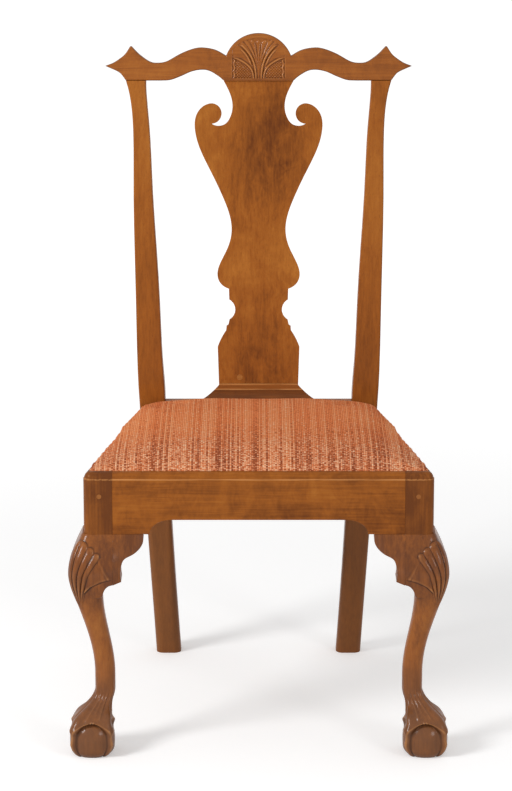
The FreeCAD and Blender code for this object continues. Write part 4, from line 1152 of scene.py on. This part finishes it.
open_underside(seat_mesh)
seat = finished("padded_seat", seat_mesh, "slip_seat", "seat_fabric", cloth_finish, "seat_cover",
                "seat_stuffing", sharp=180)
wall = seat.modifiers.new("wall", "SOLIDIFY")
wall.thickness = COVER_THICK * MM
wall.offset = -1.0
finer = seat.modifiers.new("finer", "SUBSURF")
finer.levels = finer.render_levels = 1


# %% [markdown]
# Under the padding a layer of sackcloth lies on jute straps woven over and under each other. They
# only show from below, yet they are what a sitter rests on. A strap is a flat band carried along a
# line that rises and falls as it crosses the others.

# %% Finishes under the seat
def jute(name, colour, pitch):
    """A plain weave: the product of two waves, one along each thread, raises and tints it."""
    made = Finish(name, Roughness=0.9)
    turn = 2 * math.pi / (pitch * MM)
    warp = (made.axis("X") * turn).math("SINE")
    weft = (made.axis("Y") * turn).math("SINE")
    weave = warp * weft * 0.5 + 0.5
    tint = made.noise(made.place, 60.0, 3.0) * 0.6 + weave * 0.5
    dark = tuple(0.45 * c for c in colour)
    made.set("Base Color", made.ramp(tint, (0.2, dark), (0.8, colour)))
    made.relieve(weave, 0.5, 0.0006)
    return made.material


strap_finish = jute("jute_straps", (0.46, 0.34, 0.2), 3.0)
sack_finish = jute("sackcloth", (0.52, 0.43, 0.3), 1.6)


print("finishes under the seat", strap_finish.name, sack_finish.name)


# %% [markdown]
# Three straps run front to back and three across, and each goes over one and under the next. A bell
# at each crossing moves the middle line of a strap up or down, and its flat section follows that line.

# %% Straps
long_low, long_high = corners("long_webbing")
cross_low, cross_high = corners("cross_webbing")
WEB_WIDTH, WEB_THICK = 50.0, 1.6
WEB_REST = corners("slip_front_member")[1][2] + 0.3     # just above the slip frame
WEB_LIFT = 0.9
WEB_SWING = 36.0        # half length of the rise at a crossing
WEB_SECTION = np.array([(-1, -0.8), (-0.97, -1), (0.97, -1), (1, -0.8),
                        (1, 0.8), (0.97, 1), (-0.97, 1), (-1, 0.8)])
SLIP_WIDTH = 60.8       # one member of the slip frame
SLIP_HOLD = SLIP_WIDTH * 0.4


def strap_surface(start, end, crossings, first_up):
    """A flat loop of points carried along a line that swings over and under at each crossing."""
    s = np.linspace(start, end, 90)
    signs = np.array([1.0 if (k % 2 == 0) == first_up else -1.0 for k in range(len(crossings))])
    swing = (bump(s[:, None] - np.array(crossings), WEB_SWING) * signs).sum(1) * WEB_LIFT
    across = np.broadcast_to(WEB_SECTION[:, 0] * WEB_WIDTH / 2, (len(s), len(WEB_SECTION)))
    up = WEB_REST + WEB_THICK / 2 + swing[:, None] + WEB_SECTION[:, 1] * WEB_THICK / 2
    return np.stack([across, np.broadcast_to(s[:, None], up.shape), up], -1)


def spread(low, high):
    """Middles of three straps side by side, the outer two along the ends of a width."""
    return [low + WEB_WIDTH / 2 + k * (high - low - WEB_WIDTH) / 2 for k in range(3)]


long_places = spread(long_low[0], long_high[0])
cross_places = spread(cross_low[1], cross_high[1])
for k, x in enumerate(long_places):
    surface = strap_surface(long_low[1], long_high[1], cross_places, k % 2 == 0)
    surface = surface + np.array([x, 0.0, 0.0])
    name = "long_strap_" + str(k + 1)
    strap = finished(name, closed_mesh(name, surface), "slip_seat", "webbing", strap_finish, "long_webbing")
for k, y in enumerate(cross_places):
    reach = seat_half(y - FRONT) - SLIP_HOLD
    surface = strap_surface(-reach, reach, long_places, k % 2 == 1)
    surface = np.stack([surface[..., 1], y + surface[..., 0], surface[..., 2]], -1)
    name = "cross_strap_" + str(k + 1)
    strap = finished(name, closed_mesh(name, surface), "slip_seat", "webbing", strap_finish, "cross_webbing")
    2 * reach * MM


# %% [markdown]
# The sackcloth keeps the stuffing from falling through the straps. It is cut to the shape of the
# seat, wide in front and narrow behind, and a shallow ripple keeps it from looking like a board.

# %% Sackcloth
sack_low, sack_high = corners("seat_sackcloth")


def sack_surface():
    """A four-cornered cloth: flat over the straps, with a shallow ripple between them."""
    b = np.linspace(0, 1, 60)[:, None]
    a = np.linspace(-1, 1, 60)[None, :]
    y = mix(sack_low[1], sack_high[1], b)
    half = sack_high[0] - SIDE_SLOPE * (y - sack_low[1])
    x = a * half
    ripple = 0.25 * np.sin(x / 18.0) * np.sin(y / 18.0) * (1 - a ** 4)
    upper = sack_high[2] + ripple
    lower = sack_low[2] + ripple
    loop_x = np.concatenate([x, x[:, ::-1]], 1)
    loop_z = np.concatenate([upper, lower[:, ::-1]], 1)
    return np.stack([loop_x, np.broadcast_to(y, loop_x.shape), loop_z], -1)


sack = finished("sackcloth_layer", closed_mesh("sackcloth_layer", sack_surface()), "slip_seat",
                "stuffing", sack_finish, "seat_sackcloth")


# %% [markdown]
# Short iron tacks hold the turned edge of the cover. Cut tacks were blued by heat and rust a little,
# so one noise sets both the tint of the metal and how dull it is.

# %% Finish of the tacks
BLUED, RUSTY = (0.05, 0.05, 0.06), (0.13, 0.09, 0.07)
tack_finish = Finish("blued_iron", Metallic=1.0)
rust = tack_finish.noise(tack_finish.place, 900.0, 2.0)
tack_finish.set("Base Color", tack_finish.ramp(rust, (0.35, BLUED), (0.75, RUSTY)))
tack_finish.set("Roughness", rust * 0.4 + 0.3)
dress(tack_finish.material, "cover_tacks", eased=0.15)
print("faces of the tacks", len(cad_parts["cover_tacks"].data.polygons))


# %% [markdown]
# The stage is a pale floor under soft light from the upper left, as in a studio. The floor glows
# a little towards the camera, so that it reads as white while it still takes the chair's shadow.

# %% Floor
FLOOR_REACH = 14.0
FLOOR_GREY = (0.82, 0.82, 0.82, 1.0)
GLOW_NEAR, GLOW_FAR = (0.32,) * 3, (0.64,) * 3


def seen_directly(graph):
    """1 for rays that come from the camera, from a reflection or through glass, and 0 for others."""
    rays = graph.node("ShaderNodeLightPath", output="Is Camera Ray")
    seen = rays
    for kind in ("Is Glossy Ray", "Is Transmission Ray"):
        seen = seen.math("MAXIMUM", rays.output(kind))
    return seen


def floor():
    """A wide sheet; to the camera it also glows, a little more further off where the lamps fade."""
    mesh = bpy.data.meshes.new("floor")
    spots = [(FLOOR_REACH * x, FLOOR_REACH * y, 0.0) for x, y in ((-1, -1), (1, -1), (1, 1), (-1, 1))]
    mesh.from_pydata(spots, [], [(0, 1, 2, 3)])
    made = Finish("pale_floor", Base_Color=FLOOR_GREY, Roughness=0.9, Specular_IOR_Level=0.0)
    settings = {"operation": "LENGTH"}
    distance = made.node("ShaderNodeVectorMath", settings, {0: made.place}, output="Value")
    tint = made.ramp(distance.between(0.7, 3.0), (0.0, GLOW_NEAR), (1.0, GLOW_FAR))
    glow = made.node("ShaderNodeEmission", None, {"Color": tint})
    lit = Field(made, made.shader.outputs[0])
    both = made.node("ShaderNodeAddShader", None, {0: lit, 1: glow})
    seen = made.node("ShaderNodeMixShader", None, {0: seen_directly(made), 1: lit, 2: both})
    made.feed(made.tree.nodes["Material Output"].inputs["Surface"], seen)
    mesh.materials.append(made.material)
    piece = bpy.data.objects.new("floor", mesh)
    bpy.context.scene.collection.objects.link(piece)


floor()
print("floor reaches", FLOOR_REACH, "m from the chair")


# %% [markdown]
# A white world lights the chair from all round, weaker than it looks, and two large round lamps give
# it a side: a strong one from the upper left and a weak one from the right, which opens the shadows.

# %% Sky and lamps
SKY_LIGHT, SKY_SEEN = 0.55, 1.0


def sky():
    """White to the camera and to reflections, softer as a light."""
    world = bpy.data.worlds.new("studio")
    bpy.context.scene.world = world
    world.use_nodes = True
    made = Graph(world.node_tree)
    back = made.tree.nodes["Background"]
    made.feed(back.inputs["Color"], (1.0, 1.0, 1.0))
    strength = made.node("ShaderNodeMix", None, {0: seen_directly(made), 2: SKY_LIGHT, 3: SKY_SEEN})
    made.feed(back.inputs["Strength"], strength)


def lamp(name, power, size, place, aim):
    """A round area lamp at a place, turned towards another."""
    light = bpy.data.lights.new(name, "AREA")
    light.energy = power
    light.shape = "DISK"
    light.size = size
    made = bpy.data.objects.new(name, light)
    made.location = place
    made.rotation_euler = (Vector(aim) - Vector(place)).to_track_quat("-Z", "Y").to_euler()
    bpy.context.scene.collection.objects.link(made)


SEAT_LEVEL = (0.0, 0.0, 0.5)    # what both lamps aim at
sky()
lamp("key", 89.0, 1.3, (-2.7, -2.1, 2.4), SEAT_LEVEL)
lamp("fill", 22.0, 1.1, (2.2, -2.8, 1.6), SEAT_LEVEL)
print("lamps", [light.name for light in bpy.data.lights])


# %% [markdown]
# The camera stands where the photograph was taken from, level with a standing eye and far enough
# off that the front and the back of the chair keep nearly the same scale.

# %% Camera
CAMERA_PLACE = (-4.1, -4800.0, 1813.6)   # from the middle of the seat's front edge, on the floor
CAMERA_PITCH = math.radians(14.638)
FOCAL_PIXELS = 3381.1
PHOTO_HEIGHT = 791
SENSOR = 36.0
camera = bpy.data.objects.new("camera", bpy.data.cameras.new("camera"))
camera.data.sensor_width = SENSOR
camera.data.lens = FOCAL_PIXELS * SENSOR / PHOTO_HEIGHT
camera.location = Vector((CAMERA_PLACE[0], FRONT + CAMERA_PLACE[1], CAMERA_PLACE[2])) * MM
camera.rotation_euler = (math.pi / 2 - CAMERA_PITCH, 0.0, 0.0)
camera.data.clip_end = 100.0
bpy.context.scene.collection.objects.link(camera)
bpy.context.scene.camera = camera
bpy.context.scene.view_settings.view_transform = "Standard"
print("camera at", tuple(round(c, 3) for c in camera.location))
